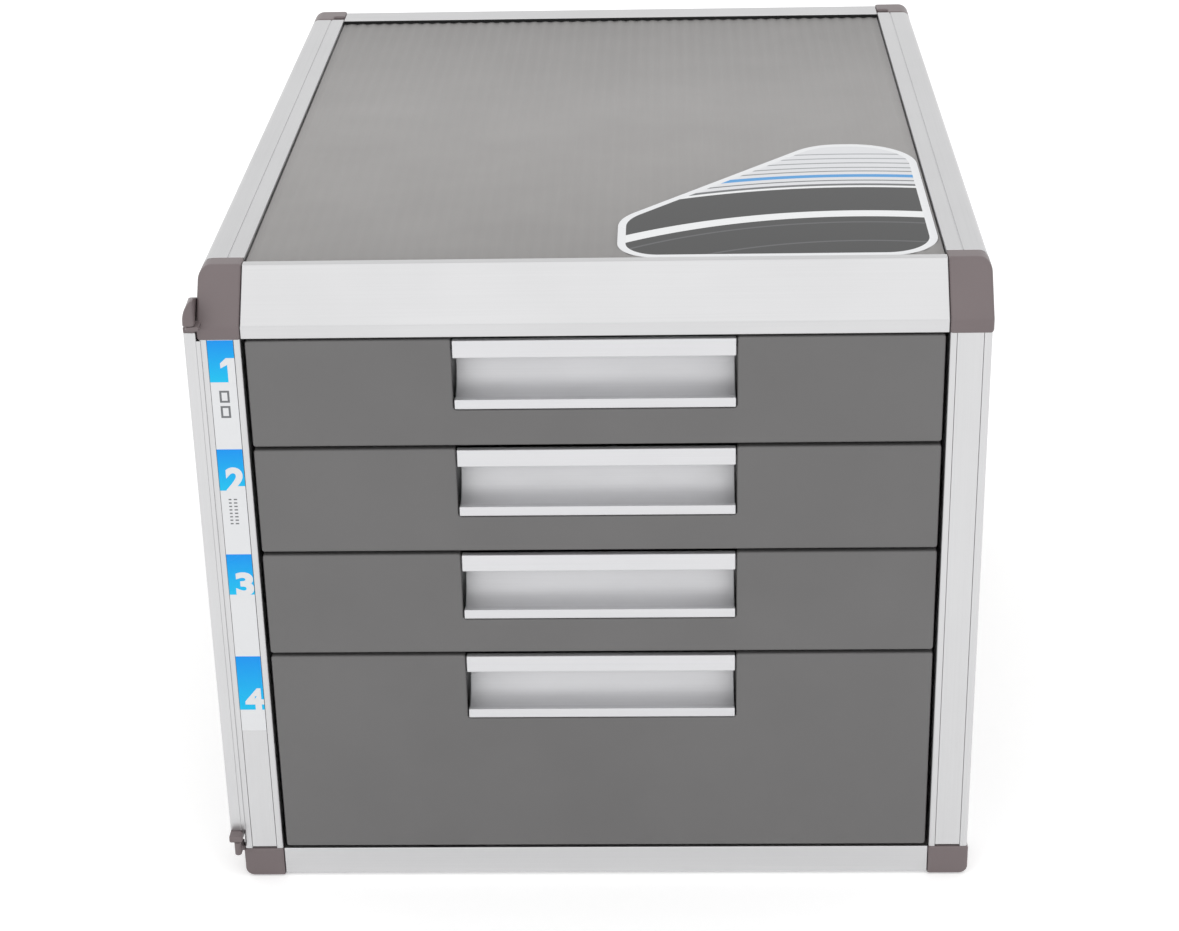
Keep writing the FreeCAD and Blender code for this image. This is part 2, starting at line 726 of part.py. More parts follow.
def top_front_corner(side):
    """A corner piece that carries on the slope of the front rail."""
    across = SIDES[side]
    name = f"corner_top_front_{side}"
    face = front - proud
    back = front + size("corner_depth")
    top = corner_top
    run = slope_run * (top - top_crease) / slope_rise
    edge = [(face, opening_top), (face, top_crease), (face + run, top), (back, top),
            (back, opening_top)]
    outer = half_width + proud
    length = outer - half_opening
    wedge = profile(name + "_wedge", "YZ_Plane", [edge],
                    ordered((half_opening, outer), across)[0], length)
    span = ordered((half_opening, outer), across)
    square = [(span[0], opening_top), (span[1], opening_top), (span[1], top), (span[0], top)]
    block = profile(name + "_block", "XZ_Plane", [square], face, back - face)
    round_edges(block, name + "_round", size("corner_round"),
                lambda item: lies_at(item, x=outer * across, z=top))
    shell = common(name + "_shell", wedge, block)
    inset = wall + spigot_gap
    low = opening_top + inset
    into_side = box(name + "_rear_spigot",
                    ordered((half_opening + inset, half_width - inset - size("rail_round")),
                            across),
                    (back, back + spigot_length),
                    (low, frame_top - inset - size("groove_depth")))
    rail_back = front + size("top_front_depth")
    into_front = box(name + "_cross_spigot",
                     ordered((half_opening - spigot_length, half_opening), across),
                     (front + inset + size("top_rail_lip"), rail_back - inset),
                     (low, opening_top + size("top_rail_lip") + inset))
    into_post = spigot_up(name + "_post_spigot", side, "front",
                          (opening_top - spigot_length, opening_top),
                          size("post_depth") - size("post_wall") - spigot_gap)
    pieces = [shell, into_side, into_front, into_post]
    if side == "right":
        return node(fuse(name, *pieces), name)
    lug, bore = top_lug(name + "_lug")
    return node(cut(name, fuse(name + "_whole", *pieces, *lug), bore), name)


def top_rear_corner(side):
    """A rear corner piece, with a small notch in its top."""
    across = SIDES[side]
    name = f"corner_top_rear_{side}"
    start = rear - size("rear_corner_depth")
    end = rear + proud
    top = corner_top
    outer = half_width + proud
    span = ordered((half_opening, outer), across)
    square = [(span[0], opening_top), (span[1], opening_top), (span[1], top), (span[0], top)]
    block = profile(name + "_block", "XZ_Plane", [square], start, end - start)
    round_edges(block, name + "_round", size("corner_round"),
                lambda item: lies_at(item, x=outer * across, z=top))
    notch = box(name + "_notch",
                ordered((half_opening, half_opening + size("notch_width")), across),
                (start, start + size("notch_length")),
                (top - size("notch_depth"), top))
    inset = wall + spigot_gap
    into_side = box(name + "_front_spigot",
                    ordered((half_opening + inset, half_width - inset - size("rail_round")),
                            across),
                    (start - spigot_length, start),
                    (opening_top + inset, frame_top - inset - size("notch_depth")))
    into_rear = box(name + "_cross_spigot",
                    ordered((half_opening - spigot_length, half_opening), across),
                    (start + size("notch_length"), rear - inset),
                    (opening_top + inset, frame_top - inset - size("notch_depth")))
    into_post = spigot_up(name + "_post_spigot", side, "rear",
                          (opening_top - spigot_length, opening_top),
                          size("rear_corner_depth"))
    shell = cut(name + "_shell", block, notch)
    return node(fuse(name, shell, into_side, into_rear, into_post), name)


def foot(side, end):
    """A foot under a post, with a recess for its pad."""
    across = SIDES[side]
    along = ENDS[end]
    name = f"foot_{end}_{side}"
    face = (front - proud) if end == "front" else (rear + proud)
    back = (front + size("post_depth")) if end == "front" else (rear - size("post_depth"))
    y = (face, back) if end == "front" else (back, face)
    outer = half_width + proud
    span = ordered((half_opening, outer), across)
    square = [(span[0], foot_bottom), (span[1], foot_bottom), (span[1], opening_bottom),
              (span[0], opening_bottom)]
    block = profile(name + "_block", "XZ_Plane", [square], y[0], y[1] - y[0])
    round_edges(block, name + "_round", size("foot_round"),
                lambda item: lies_at(item, x=outer * across, z=foot_bottom))
    inset = wall + spigot_gap
    low = rail_bottom + inset
    high = opening_bottom - inset
    behind = ((back, back + spigot_length) if end == "front"
              else (back - spigot_length, back))
    into_side = box(name + "_side_spigot",
                    ordered((half_opening + inset, half_width - inset), across),
                    behind, (low, high))
    rail_face = front if end == "front" else rear
    cross = (rail_face - inset * along,
             rail_face - (size("bottom_rail_depth") - inset) * along)
    cross = cross if end == "front" else (cross[1], cross[0])
    into_cross = box(name + "_cross_spigot",
                     ordered((half_opening - spigot_length, half_opening), across),
                     cross, (low, high))
    into_post = spigot_up(name + "_post_spigot", side, end,
                          (opening_bottom, opening_bottom + spigot_length),
                          size("post_depth") - size("post_wall") - spigot_gap)
    recess = rod(name + "_recess", "z", (pad_x(side), pad_y(end), foot_bottom),
                 size("pad_radius") + size("pad_gap"),
                 size("pad_thickness") - size("pad_proud"))
    pieces = [block, into_side, into_cross, into_post]
    tools = [recess]
    if (side, end) == ("left", "front"):
        lug, bore = low_lug(name + "_lug")
        pieces += lug
        tools.append(bore)
    return node(cut(name, fuse(name + "_whole", *pieces), *tools), name)


def pad_x(side):
    return (half_opening + size("post_width") / 2) * SIDES[side]


def pad_y(end):
    return (size("frame_depth") / 2 - size("post_depth") / 2) * ENDS[end]


for side in SIDES:
    top_front_corner(side)
    top_rear_corner(side)
for end in ENDS:
    for side in SIDES:
        foot(side, end)

pads = [
    rod(f"pad_{end}_{side}", "z", (pad_x(side), pad_y(end), Length("0", 0)),
        size("pad_radius"), size("pad_thickness"))
    for end in ENDS for side in SIDES
]


def group(label, members):
    """Separate solids kept together under one name."""
    together = document.addObject("Part::Compound", label)
    together.Links = members
    return node(together, label)


group("foot_pads", pads)


# Runners

def runner(side, number):
    """A channel for the rim of a tray, with a stop at either end and two pegs."""
    across = SIDES[side]
    name = f"runner_{side}_{number}"
    low, high = runner_span(number)
    x = ordered((runner_inner, half_opening), across)
    whole = box(name + "_block", x, (runner_front, runner_rear), (low, high))
    hollow_x = ordered((runner_inner, half_opening - size("runner_web")), across)
    hollow = box(name + "_hollow", hollow_x, (stop_rear, tray_rear + size("end_gap")),
                 (low + lip, high - lip))
    mouth = box(name + "_mouth", hollow_x, (runner_front, stop_rear),
                (low + lip, rim_top(number) + size("stop_gap")))
    reach = size("post_wall") - size("peg_short")
    peg_x = ordered((half_opening, half_opening + reach), across)[0]
    pegs = [
        rod(f"{name}_peg_{end}", "x", (peg_x, peg_y, peg_height(number)),
            size("peg_radius"), reach)
        for end, peg_y in (("front", peg_front_y), ("rear", peg_rear_y))
    ]
    channel = cut(name + "_channel", whole, hollow, mouth)
    return node(fuse(name, channel, *pegs), name)


for number in DRAWERS:
    for side in SIDES:
        runner(side, number)


# Drawers

front_half = half_opening - size("front_side_gap")
window_half = size("handle_length") / 2 + size("handle_gap")


def boss_places(number):
    """The four screws of a drawer: x and z of each."""
    low, high = front_span(number)
    tray_low = low + size("tray_lift")
    tray_high = rim_top(number)
    margin = tray_wall + size("screw_head_radius") * 2
    heights = (tray_low + margin, tray_high - margin)
    half = size("boss_spread") / 2
    return [(x, z) for x in (-half, half) for z in heights]


def drawer_front(number):
    """The front: a sheet with turned edges, a window for the handle and screw bosses."""
    name = f"drawer_front_{number}"
    low, high = front_span(number)
    sheet_rear = front + size("front_sheet")
    skirt = size("skirt_wall")
    whole = box(name + "_block", (-front_half, front_half), (front, tray_front), (low, high))
    hollow = box(name + "_hollow", (skirt - front_half, front_half - skirt),
                 (sheet_rear, tray_front), (low + skirt, high - skirt))
    sill = high - size("handle_drop") - size("handle_height") - size("handle_gap")
    window = box(name + "_window", (-window_half, window_half), (front, tray_front),
                 (sill, high))
    shell = cut(name + "_shell", whole, hollow, window)
    bosses = []
    bores = []
    bore_start = tray_front - size("boss_bore_depth")
    for index, (x, z) in enumerate(boss_places(number), start=1):
        bosses.append(rod(f"{name}_boss_{index}", "y", (x, sheet_rear, z),
                          size("boss_radius"), tray_front - sheet_rear))
        bores.append(rod(f"{name}_bore_{index}", "y", (x, bore_start, z),
                         size("boss_bore"), size("boss_bore_depth")))
    return node(cut(name, fuse(name + "_whole", shell, *bosses), *bores), name)


def drawer_handle(number):
    """The handle: a bar and a lip joined by a round trough, open at the front."""
    name = f"drawer_handle_{number}"
    top = front_span(number)[1] - size("handle_drop")
    bottom = top - size("handle_height")
    middle = (top + bottom) / 2
    half = size("handle_length") / 2
    length = size("handle_length")
    axis_y = front + size("front_sheet")
    outer_radius = size("handle_radius") + size("handle_wall")
    outer = rod(name + "_outer", "x", (-half, axis_y, middle), outer_radius, length)
    inner = rod(name + "_inner", "x", (-half, axis_y, middle), size("handle_radius"), length)
    rear_half = box(name + "_rear", (-half, half), (axis_y, axis_y + outer_radius),
                    (bottom, top))
    trough = common(name + "_trough", cut(name + "_tube", outer, inner), rear_half)
    faces_y = (front, axis_y + size("handle_wall"))
    bar = box(name + "_bar", (-half, half), faces_y, (top - size("handle_bar"), top))
    lip_block = box(name + "_lip", (-half, half), faces_y,
                    (bottom, bottom + size("handle_lip")))
    flange = box(name + "_flange", (-half, half), (axis_y, axis_y + size("handle_wall")),
                 (bottom - size("handle_flange"), bottom))
    return node(fuse(name, trough, bar, lip_block, flange), name)


def drawer_tray(number):
    """The tray: an open box that hangs by its rims, each with a catch."""
    name = f"drawer_tray_{number}"
    low = front_span(number)[0] + size("tray_lift")
    high = rim_top(number)
    whole = box(name + "_block", (-tray_half, tray_half), (tray_front, tray_rear), (low, high))
    hollow = box(name + "_hollow", (tray_wall - tray_half, tray_half - tray_wall),
                 (tray_front + tray_wall, tray_rear - tray_wall), (low + tray_wall, high))
    pieces = [cut(name + "_shell", whole, hollow)]
    catch_front = stop_rear + size("drawer_travel") + size("end_gap")
    for side, across in SIDES.items():
        rim_x = ordered((tray_half - tray_wall, rim_half), across)
        catch_x = ordered((runner_inner + running_gap, rim_half), across)
        pieces.append(box(f"{name}_rim_{side}", rim_x, (runner_front, tray_rear),
                          (high - tray_wall, high)))
        pieces.append(box(f"{name}_catch_{side}", catch_x,
                          (catch_front, catch_front + size("catch_length")),
                          (high, high + size("catch_height"))))
    holes = [
        rod(f"{name}_hole_{index}", "y", (x, tray_front, z),
            size("screw_radius") + size("screw_hole_gap"), tray_wall)
        for index, (x, z) in enumerate(boss_places(number), start=1)
    ]
    return node(cut(name, fuse(name + "_whole", *pieces), *holes), name)


def drawer_screws(number):
    """Four screws from inside the tray into the bosses of the front."""
    name = f"drawer_screws_{number}"
    screws = []
    start = tray_front - size("screw_reach")
    shank_length = size("screw_reach") + tray_wall
    for index, (x, z) in enumerate(boss_places(number), start=1):
        shank = rod(f"{name}_shank_{index}", "y", (x, start, z), size("screw_radius"),
                    shank_length)
        head = rod(f"{name}_head_{index}", "y", (x, tray_front + tray_wall, z),
                   size("screw_head_radius"), size("screw_head_height"))
        screws.append(fuse(f"{name}_screw_{index}", shank, head))
    return group(name, screws)


for number in DRAWERS:
    drawer_front(number)
    drawer_handle(number)
    drawer_tray(number)
    drawer_screws(number)


# The swinging bar, folded back

bar_x = (hinge_x - bar_back, hinge_x + size("hinge_inset"))
bar_y = (hinge_y + size("bar_offset"), hinge_y + size("bar_offset") + size("bar_width"))


def swing_bar():
    """The bar: a flat hollow profile between its two caps."""
    edge = [(bar_x[0], bar_y[0]), (bar_x[1], bar_y[0]), (bar_x[1], bar_y[1]),
            (bar_x[0], bar_y[1])]
    skin = size("bar_wall")
    hollow = [(bar_x[0] + skin, bar_y[0] + skin), (bar_x[1] - skin, bar_y[0] + skin),
              (bar_x[1] - skin, bar_y[1] - skin), (bar_x[0] + skin, bar_y[1] - skin)]
    return node(profile("swing_bar", "XY_Plane", [edge, hollow], low_cap_z[1],
                        top_cap_z[0] - low_cap_z[1]), "swing_bar")


def bar_plug(name, z):
    """The tongue of a cap that fits inside the bar."""
    inset = size("bar_wall") + spigot_gap
    return box(name, (bar_x[0] + inset, bar_x[1] - inset), (bar_y[0] + inset, bar_y[1] - inset),
               z)


def cap_knuckle(name, z):
    """The knuckle of a cap: a block before the bar, wider than it on the cabinet's side."""
    knuckle_front = hinge_y - knuckle
    web = box(name + "_web", bar_x, (knuckle_front, bar_y[0] + knuckle), z)
    cheek = box(name + "_cheek", (hinge_x, hinge_x + size("knuckle_reach")),
                (knuckle_front, hinge_y + size("knuckle_depth")), z)
    return [web, cheek]


def top_cap():
    """The upper cap: a rounded shoulder that falls to the rear, cut away round the lug."""
    name = "swing_bar_cap_top"
    side_view = [(bar_y[0], top_cap_z[0]), (bar_y[1], top_cap_z[0]),
                 (bar_y[1], top_cap_z[1] - size("cap_fall")), (bar_y[0], top_cap_z[1])]
    plate = profile(name + "_plate", "YZ_Plane", [side_view], bar_x[0], size("bar_thickness"))
    knuckle_bottom = top_lug_z[1] + size("lug_gap")
    full = fuse(name + "_full", plate, *cap_knuckle(name, (knuckle_bottom, top_cap_z[1])))
    shoulder = rod(name + "_shoulder", "y",
                   (bar_x[0] + size("cap_round"), hinge_y - knuckle,
                    top_cap_z[0] + size("cap_round_rise")),
                   size("cap_round"), size("bar_width") + size("bar_offset") + knuckle)
    lug_reach = (lug_inner_y - hinge_y) + size("lug_root") + size("lug_clear")
    notch = box(name + "_notch", bar_x, (bar_y[0], hinge_y + lug_reach),
                (top_lug_z[0] - size("lug_gap"), knuckle_bottom))
    body = cut(name + "_body", common(name + "_round", full, shoulder), notch)
    knuckle_top = top_cap_z[1] - size("bar_thickness")
    plug = bar_plug(name + "_plug", (top_cap_z[0] - size("cap_height") / 2, top_cap_z[0]))
    bore = rod(name + "_bore", "z", (hinge_x, hinge_y, knuckle_bottom),
               size("pin_radius") + size("pin_press_gap"),
               knuckle_top - size("pin_end") - knuckle_bottom)
    return node(cut(name, fuse(name + "_whole", body, plug), bore), name)


def low_cap():
    """The lower cap, whose knuckle turns above the lug of the foot."""
    name = "swing_bar_cap_bottom"
    plate = box(name + "_plate", bar_x, bar_y, low_cap_z)
    plug = bar_plug(name + "_plug", (low_cap_z[1], low_cap_z[1] + size("cap_height") / 2))
    bore = rod(name + "_bore", "z", (hinge_x, hinge_y, low_knuckle_z[0]),
               size("pin_radius") + size("pin_press_gap"),
               size("low_knuckle_height") - size("pin_end"))
    pieces = cap_knuckle(name, low_knuckle_z)
    return node(cut(name, fuse(name + "_whole", plate, plug, *pieces), bore), name)


swing_bar()
top_cap()
low_cap()

top_pin_start = top_lug_z[0] + size("pin_end") * 2
top_pin_end = top_cap_z[1] - size("bar_thickness") - size("pin_end")
low_pin_start = opening_bottom + size("pin_end") * 2
low_pin_end = low_cap_z[1] - size("pin_end")
group("hinge_pins", [
    rod("hinge_pin_top", "z", (hinge_x, hinge_y, top_pin_start), size("pin_radius"),
        top_pin_end - top_pin_start),
    rod("hinge_pin_bottom", "z", (hinge_x, hinge_y, low_pin_start), size("pin_radius"),
        low_pin_end - low_pin_start),
])


# Labels

strip_outer = half_width - size("strip_inset")
node(box("index_label", (-strip_outer, size("strip_width") - strip_outer),
         (front - size("label_thickness"), front),
         (opening_top - size("label_length"), opening_top)), "index_label")

badge_right = panel_half - size("badge_side_gap")
badge_left = badge_right - size("badge_width")
badge_front = top_panel_front + size("badge_front")
badge_rear = badge_front + size("badge_depth")

# The two roundings at the rear share its edge, so neither takes more than its share of it.
REAR_ROUND_SHARE = 0.66
SLANT_ROUND_SHARE = 0.6
rear_round = smaller(size("badge_rear_round"), size("badge_apex") * REAR_ROUND_SHARE)
slant_round = smaller(size("badge_slant_round"), size("badge_apex") * SLANT_ROUND_SHARE)
badge_corners = {
    "left_front": (badge_left, badge_front, size("badge_tip_round")),
    "right_front": (badge_right, badge_front, size("badge_front_round")),
    "right_rear": (badge_right, badge_rear, rear_round),
    "slant_rear": (badge_right - size("badge_apex"), badge_rear, slant_round),
    "slant_front": (badge_left, badge_front + size("badge_tip"), slant_round),
}
badge = profile("top_label", "XY_Plane", [[(x, y) for x, y, radius in badge_corners.values()]],
                panel_top, size("label_thickness"))
for corner, (x, y, radius) in badge_corners.items():
    round_edges(badge, f"top_label_{corner}", radius, lambda item: lies_at(item, x=x, y=y))
node(badge, "top_label")


# Checks and files

document.recompute()
for item in document.Objects:
    troubles = {"Invalid", "Error"} & set(item.State)
    if troubles:
        raise RuntimeError(f"{item.Name} ({item.Label}) is {sorted(troubles)}")
labels = [item.Label for item in nodes]
if len(set(labels)) != len(labels):
    raise RuntimeError("two pieces share a name")
for item in nodes:
    if item.Shape.isNull() or not item.Shape.isValid() or not item.Shape.Solids:
        raise RuntimeError(f"{item.Label} has no sound shape")

os.makedirs("parts", exist_ok=True)
for item in nodes:
    item.Shape.exportStep(f"parts/{item.Label}.step")
print(len(nodes), "pieces written")
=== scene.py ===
# %% [markdown]
# # A desktop drawer cabinet
# The cabinet is a frame of extruded aluminium, joined by moulded plastic corners and
# closed with painted steel sheets. Three shallow drawers and a deep one run in plastic
# channels. Each has a trough-shaped aluminium finger pull. A thin bar is hinged at the
# front left corner: folded back it lies along the side, and swung round it bars the drawers.
#
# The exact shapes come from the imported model, the frame. This notebook gives them their
# finish: rounded edges, ribs, prints and the surfaces of anodised, painted and moulded parts.

# %% Load the frame
import json
import math

import bmesh
import bpy
from mathutils import Matrix, Vector


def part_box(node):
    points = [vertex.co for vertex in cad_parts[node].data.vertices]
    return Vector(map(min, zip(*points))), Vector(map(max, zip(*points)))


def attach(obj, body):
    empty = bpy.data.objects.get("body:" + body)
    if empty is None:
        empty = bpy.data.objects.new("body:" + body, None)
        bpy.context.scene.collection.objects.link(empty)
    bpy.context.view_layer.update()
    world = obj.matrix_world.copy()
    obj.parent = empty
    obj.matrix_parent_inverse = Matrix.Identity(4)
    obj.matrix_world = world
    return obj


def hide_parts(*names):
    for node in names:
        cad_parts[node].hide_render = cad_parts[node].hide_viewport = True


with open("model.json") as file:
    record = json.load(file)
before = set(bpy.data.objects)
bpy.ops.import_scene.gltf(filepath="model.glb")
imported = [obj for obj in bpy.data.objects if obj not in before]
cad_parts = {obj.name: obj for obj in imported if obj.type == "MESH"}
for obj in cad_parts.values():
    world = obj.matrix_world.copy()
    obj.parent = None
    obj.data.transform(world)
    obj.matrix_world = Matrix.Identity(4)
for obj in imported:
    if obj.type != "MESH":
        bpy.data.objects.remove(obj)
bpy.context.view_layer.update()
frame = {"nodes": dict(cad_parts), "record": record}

# %% [markdown]
# ## Units, colours and places
# Blender works in metres and linear colour, while a maker thinks in millimetres and in
# colours as a screen shows them. One factor and one function bridge that, so every size
# below can be written in millimetres and every colour as the hex value it has on a chart.

# %% Units and colours
MM = 0.001


def linear(hex_colour):
    """An sRGB hex colour as linear RGBA."""
    values = [int(hex_colour[i:i + 2], 16) / 255 for i in (1, 3, 5)]
    return tuple(v / 12.92 if v <= 0.04045 else ((v + 0.055) / 1.055) ** 2.4 for v in values) + (1,)


# %% Put data in the scene
def shown(name, data):
    """A new object of the scene with some data."""
    item = bpy.data.objects.new(name, data)
    bpy.context.scene.collection.objects.link(item)
    return item


# %% Which node belongs to which body
body_of_node = {
    node: body
    for body, members in frame["record"]["behaviour"]["bodies"].items()
    for node in members
}

# %% [markdown]
# ## The camera
# The photograph was taken from a little right of the middle and about 34 cm above the
# cabinet, tipped down by 25 degrees. These angles and the focal length were solved from the
# straight edges of the cabinet itself, so a render can be laid over the photograph.

# %% Camera
PHOTO_WIDTH = 1179
SENSOR_WIDTH = 36
FOCAL_PIXELS = 2538.6
CAMERA_PLACE = Vector((28.3, -1075.8, 606.5)) * MM
CAMERA_YAW = math.radians(-2.0)
CAMERA_PITCH = math.radians(25.21)
CAMERA_ROLL = math.radians(-1.31)

ahead = Vector((
    math.sin(CAMERA_YAW) * math.cos(CAMERA_PITCH),
    math.cos(CAMERA_YAW) * math.cos(CAMERA_PITCH),
    -math.sin(CAMERA_PITCH),
))
level_right = Vector((math.cos(CAMERA_YAW), -math.sin(CAMERA_YAW), 0))
level_up = level_right.cross(ahead)
right = level_right * math.cos(CAMERA_ROLL) + level_up * math.sin(CAMERA_ROLL)
up = level_up * math.cos(CAMERA_ROLL) - level_right * math.sin(CAMERA_ROLL)

lens = bpy.data.cameras.new("photo_camera")
lens.sensor_width = SENSOR_WIDTH
lens.lens = FOCAL_PIXELS / PHOTO_WIDTH * SENSOR_WIDTH
camera = shown("photo_camera", lens)
camera.matrix_world = Matrix.Translation(CAMERA_PLACE) @ Matrix((right, up, -ahead)).transposed().to_4x4()
bpy.context.scene.camera = camera
print("lens", round(lens.lens, 2), "mm")

# %% [markdown]
# ## Nodes for materials and geometry
# Every material and every Geometry Nodes tree is a small graph. One helper adds a node,
# sets its options and fills its inputs, each with a value or with another node's output.


# %% One helper for every node
def add_node(tree, kind, inputs=None, **options):
    """A new node with its options set and its inputs filled with values or links."""
    node = tree.nodes.new(kind)
    for option, value in options.items():
        setattr(node, option, value)
    for key, value in (inputs or {}).items():
        if isinstance(value, bpy.types.NodeSocket):
            tree.links.new(value, node.inputs[key])
        else:
            node.inputs[key].default_value = value
    return node


# %% Helpers for materials
# Nearly all values of a noise lie in this range, which a Map Range stretches to another one.
NOISE_RANGE = {"From Min": 0.3, "From Max": 0.7}


def new_material(name):
    """An empty material and its tree."""
    material = bpy.data.materials.new(name)
    material.use_nodes = True
    material.node_tree.nodes.clear()
    return material, material.node_tree


def pattern_place(tree, *sizes):
    """Object coordinates in which a pattern has its real size, one for all axes or one for each."""
    place = add_node(tree, "ShaderNodeTexCoord")
    scale = [1 / size for size in (sizes if len(sizes) == 3 else sizes * 3)]
    mapping = add_node(tree, "ShaderNodeMapping", {"Vector": place.outputs["Object"], "Scale": scale})
    return mapping.outputs["Vector"]


def end_material(tree, inputs):
    """Ends a material: its surface with its values and patterns, joined to the output."""
    surface = add_node(tree, "ShaderNodeBsdfPrincipled", inputs)
    add_node(tree, "ShaderNodeOutputMaterial", {"Surface": surface.outputs["BSDF"]})


def mottled(tree, colour, pattern, change):
    """A colour that a pattern makes lighter and darker by a share."""
    tone = add_node(tree, "ShaderNodeMapRange", {
        "Value": pattern.outputs["Fac"], **NOISE_RANGE, "To Min": 1 - change, "To Max": 1 + change})
    tint = add_node(tree, "ShaderNodeVectorMath", {
        0: linear(colour)[:3], "Scale": tone.outputs["Result"]}, operation="SCALE")
    return tint.outputs["Vector"]


# %% [markdown]
# ## Anodised aluminium
# The rails, posts and handles are extruded 6063 aluminium, satin etched and anodised clear.
# The die leaves fine lines along each bar, and the etch softens every reflection. So the
# metal is bright, its roughness is fairly high, and a noise that is stretched along the
# bar gives the lines. They are about 0.2 mm apart on the real bar and drawn at 0.5 mm,
# because finer ones would not show. The oxide film also scatters some light like a paint
# does, most on the coarser etch of the handles, so those are not wholly metallic.

# %% Anodised aluminium
DIE_LINE = 0.5 * MM
DIE_RUN = 90 * MM
CLOUD = 35 * MM


def anodised_aluminium(name, along, colour, roughness, metallic):
    """Anodised aluminium with die lines along one axis (0, 1 or 2)."""
    material, tree = new_material(name)
    sizes = [DIE_LINE] * 3
    sizes[along] = DIE_RUN
    lines = add_node(tree, "ShaderNodeTexNoise", {
        "Vector": pattern_place(tree, *sizes), "Scale": 1.0, "Detail": 3.0, "Roughness": 0.6})
    cloud = add_node(tree, "ShaderNodeTexNoise", {
        "Vector": pattern_place(tree, CLOUD), "Scale": 1.0, "Detail": 2.0})
    gloss = add_node(tree, "ShaderNodeMapRange", {
        "Value": cloud.outputs["Fac"], **NOISE_RANGE,
        "To Min": roughness - 0.04, "To Max": roughness + 0.04})
    relief = add_node(tree, "ShaderNodeBump", {
        "Height": lines.outputs["Fac"], "Strength": 0.08, "Distance": 0.015 * MM})
    end_material(tree, {
        "Base Color": mottled(tree, colour, lines, 0.015), "Metallic": metallic,
        "Roughness": gloss.outputs["Result"], "Normal": relief.outputs["Normal"]})
    return material


aluminium = [
    anodised_aluminium(f"anodised_aluminium_along_{axis}", index, "#CDCDCE", 0.38, 1.0)
    for index, axis in enumerate("xyz")
]
etched_aluminium = anodised_aluminium("etched_aluminium_handles", 0, "#DADADC", 0.5, 0.68)
print("aluminium along x, y and z, and etched")

# %% [markdown]
# ## Powder-coated steel
# Sheets are sprayed with charged powder and baked. The film flows into a faint orange peel,
# about 1 mm across, over a much finer grain. The drawer fronts have a smooth semi-matt
# grey, and the panels a drier, warmer one.

# %% Powder coat
PEEL = 1.4 * MM
GRAIN = 0.5 * MM


def powder_coat(name, colour, roughness, peel_depth, grain_depth):
    """Baked powder paint, with the depths of its orange peel and grain in millimetres."""
    material, tree = new_material(name)
    peel, grain, cloud = (
        add_node(tree, "ShaderNodeTexNoise", {
            "Vector": pattern_place(tree, size), "Scale": 1.0, "Detail": detail})
        for size, detail in ((PEEL, 1.5), (GRAIN, 2.0), (CLOUD, 3.0)))
    gloss = add_node(tree, "ShaderNodeMapRange", {
        "Value": grain.outputs["Fac"], **NOISE_RANGE,
        "To Min": roughness - 0.05, "To Max": roughness + 0.05})
    fine = add_node(tree, "ShaderNodeBump", {
        "Height": grain.outputs["Fac"], "Strength": 0.3, "Distance": grain_depth * MM})
    relief = add_node(tree, "ShaderNodeBump", {
        "Height": peel.outputs["Fac"], "Normal": fine.outputs["Normal"],
        "Strength": 0.3, "Distance": peel_depth * MM})
    end_material(tree, {
        "Base Color": mottled(tree, colour, cloud, 0.03), "Roughness": gloss.outputs["Result"],
        "IOR": 1.5, "Normal": relief.outputs["Normal"]})
    return material


front_paint = powder_coat("powder_coated_steel_grey", "#6B6A6A", 0.38, peel_depth=0.06, grain_depth=0.02)
panel_paint = powder_coat("powder_coated_steel_warm_grey", "#9F9D9C", 0.68, peel_depth=0.08, grain_depth=0.05)
tray_paint = powder_coat("powder_coated_steel_pale_grey", "#9B9C9D", 0.46, peel_depth=0.06, grain_depth=0.02)
print("powder coats")

# %% [markdown]
# ## Moulded plastics and small metal
# The corners, feet and end caps are moulded ABS in a warm grey, with a spark-eroded grain
# that scatters light. The runners are smooth dark acetal, the pads natural-black rubber, and
# the screws and pins steel with a zinc plate.

# %% Moulded plastic
MOULD_GRAIN = 0.45 * MM


def moulded(name, colour, roughness, ior, grain_depth):
    """A moulded part whose tool left a fine even grain, its depth in millimetres."""
    material, tree = new_material(name)
    grain = add_node(tree, "ShaderNodeTexVoronoi", {
        "Vector": pattern_place(tree, MOULD_GRAIN), "Scale": 1.0}, feature="SMOOTH_F1")
    cloud = add_node(tree, "ShaderNodeTexNoise", {
        "Vector": pattern_place(tree, CLOUD), "Scale": 1.0, "Detail": 3.0})
    relief = add_node(tree, "ShaderNodeBump", {
        "Height": grain.outputs["Distance"], "Strength": 0.25, "Distance": grain_depth * MM})
    end_material(tree, {
        "Base Color": mottled(tree, colour, cloud, 0.04), "Roughness": roughness, "IOR": ior,
        "Normal": relief.outputs["Normal"]})
    return material


corner_plastic = moulded("moulded_abs_warm_grey", "#736869", 0.4, ior=1.53, grain_depth=0.06)
runner_plastic = moulded("moulded_acetal_dark", "#3A3B3D", 0.38, ior=1.48, grain_depth=0.02)
pad_rubber = moulded("moulded_rubber_black", "#2A2A2A", 0.75, ior=1.52, grain_depth=0.06)
# A near-black matt strip for the gap behind the top panel: painted shade standing in for that deep gap's
# darkness.
shade_strip_black = moulded("painted_shade_black_strip", "#101010", 0.9, ior=1.45, grain_depth=0.1)
print("moulded plastics, rubber and foam")

# %% Zinc-plated steel
zinc_steel, tree = new_material("zinc_plated_steel")
spots = add_node(tree, "ShaderNodeTexNoise", {
    "Vector": pattern_place(tree, MM), "Scale": 1.0, "Detail": 3.0})
gloss = add_node(tree, "ShaderNodeMapRange", {
    "Value": spots.outputs["Fac"], **NOISE_RANGE, "To Min": 0.22, "To Max": 0.36})
end_material(tree, {
    "Base Color": linear("#C9CBCC"), "Metallic": 1.0, "Roughness": gloss.outputs["Result"]})
print("zinc plate")

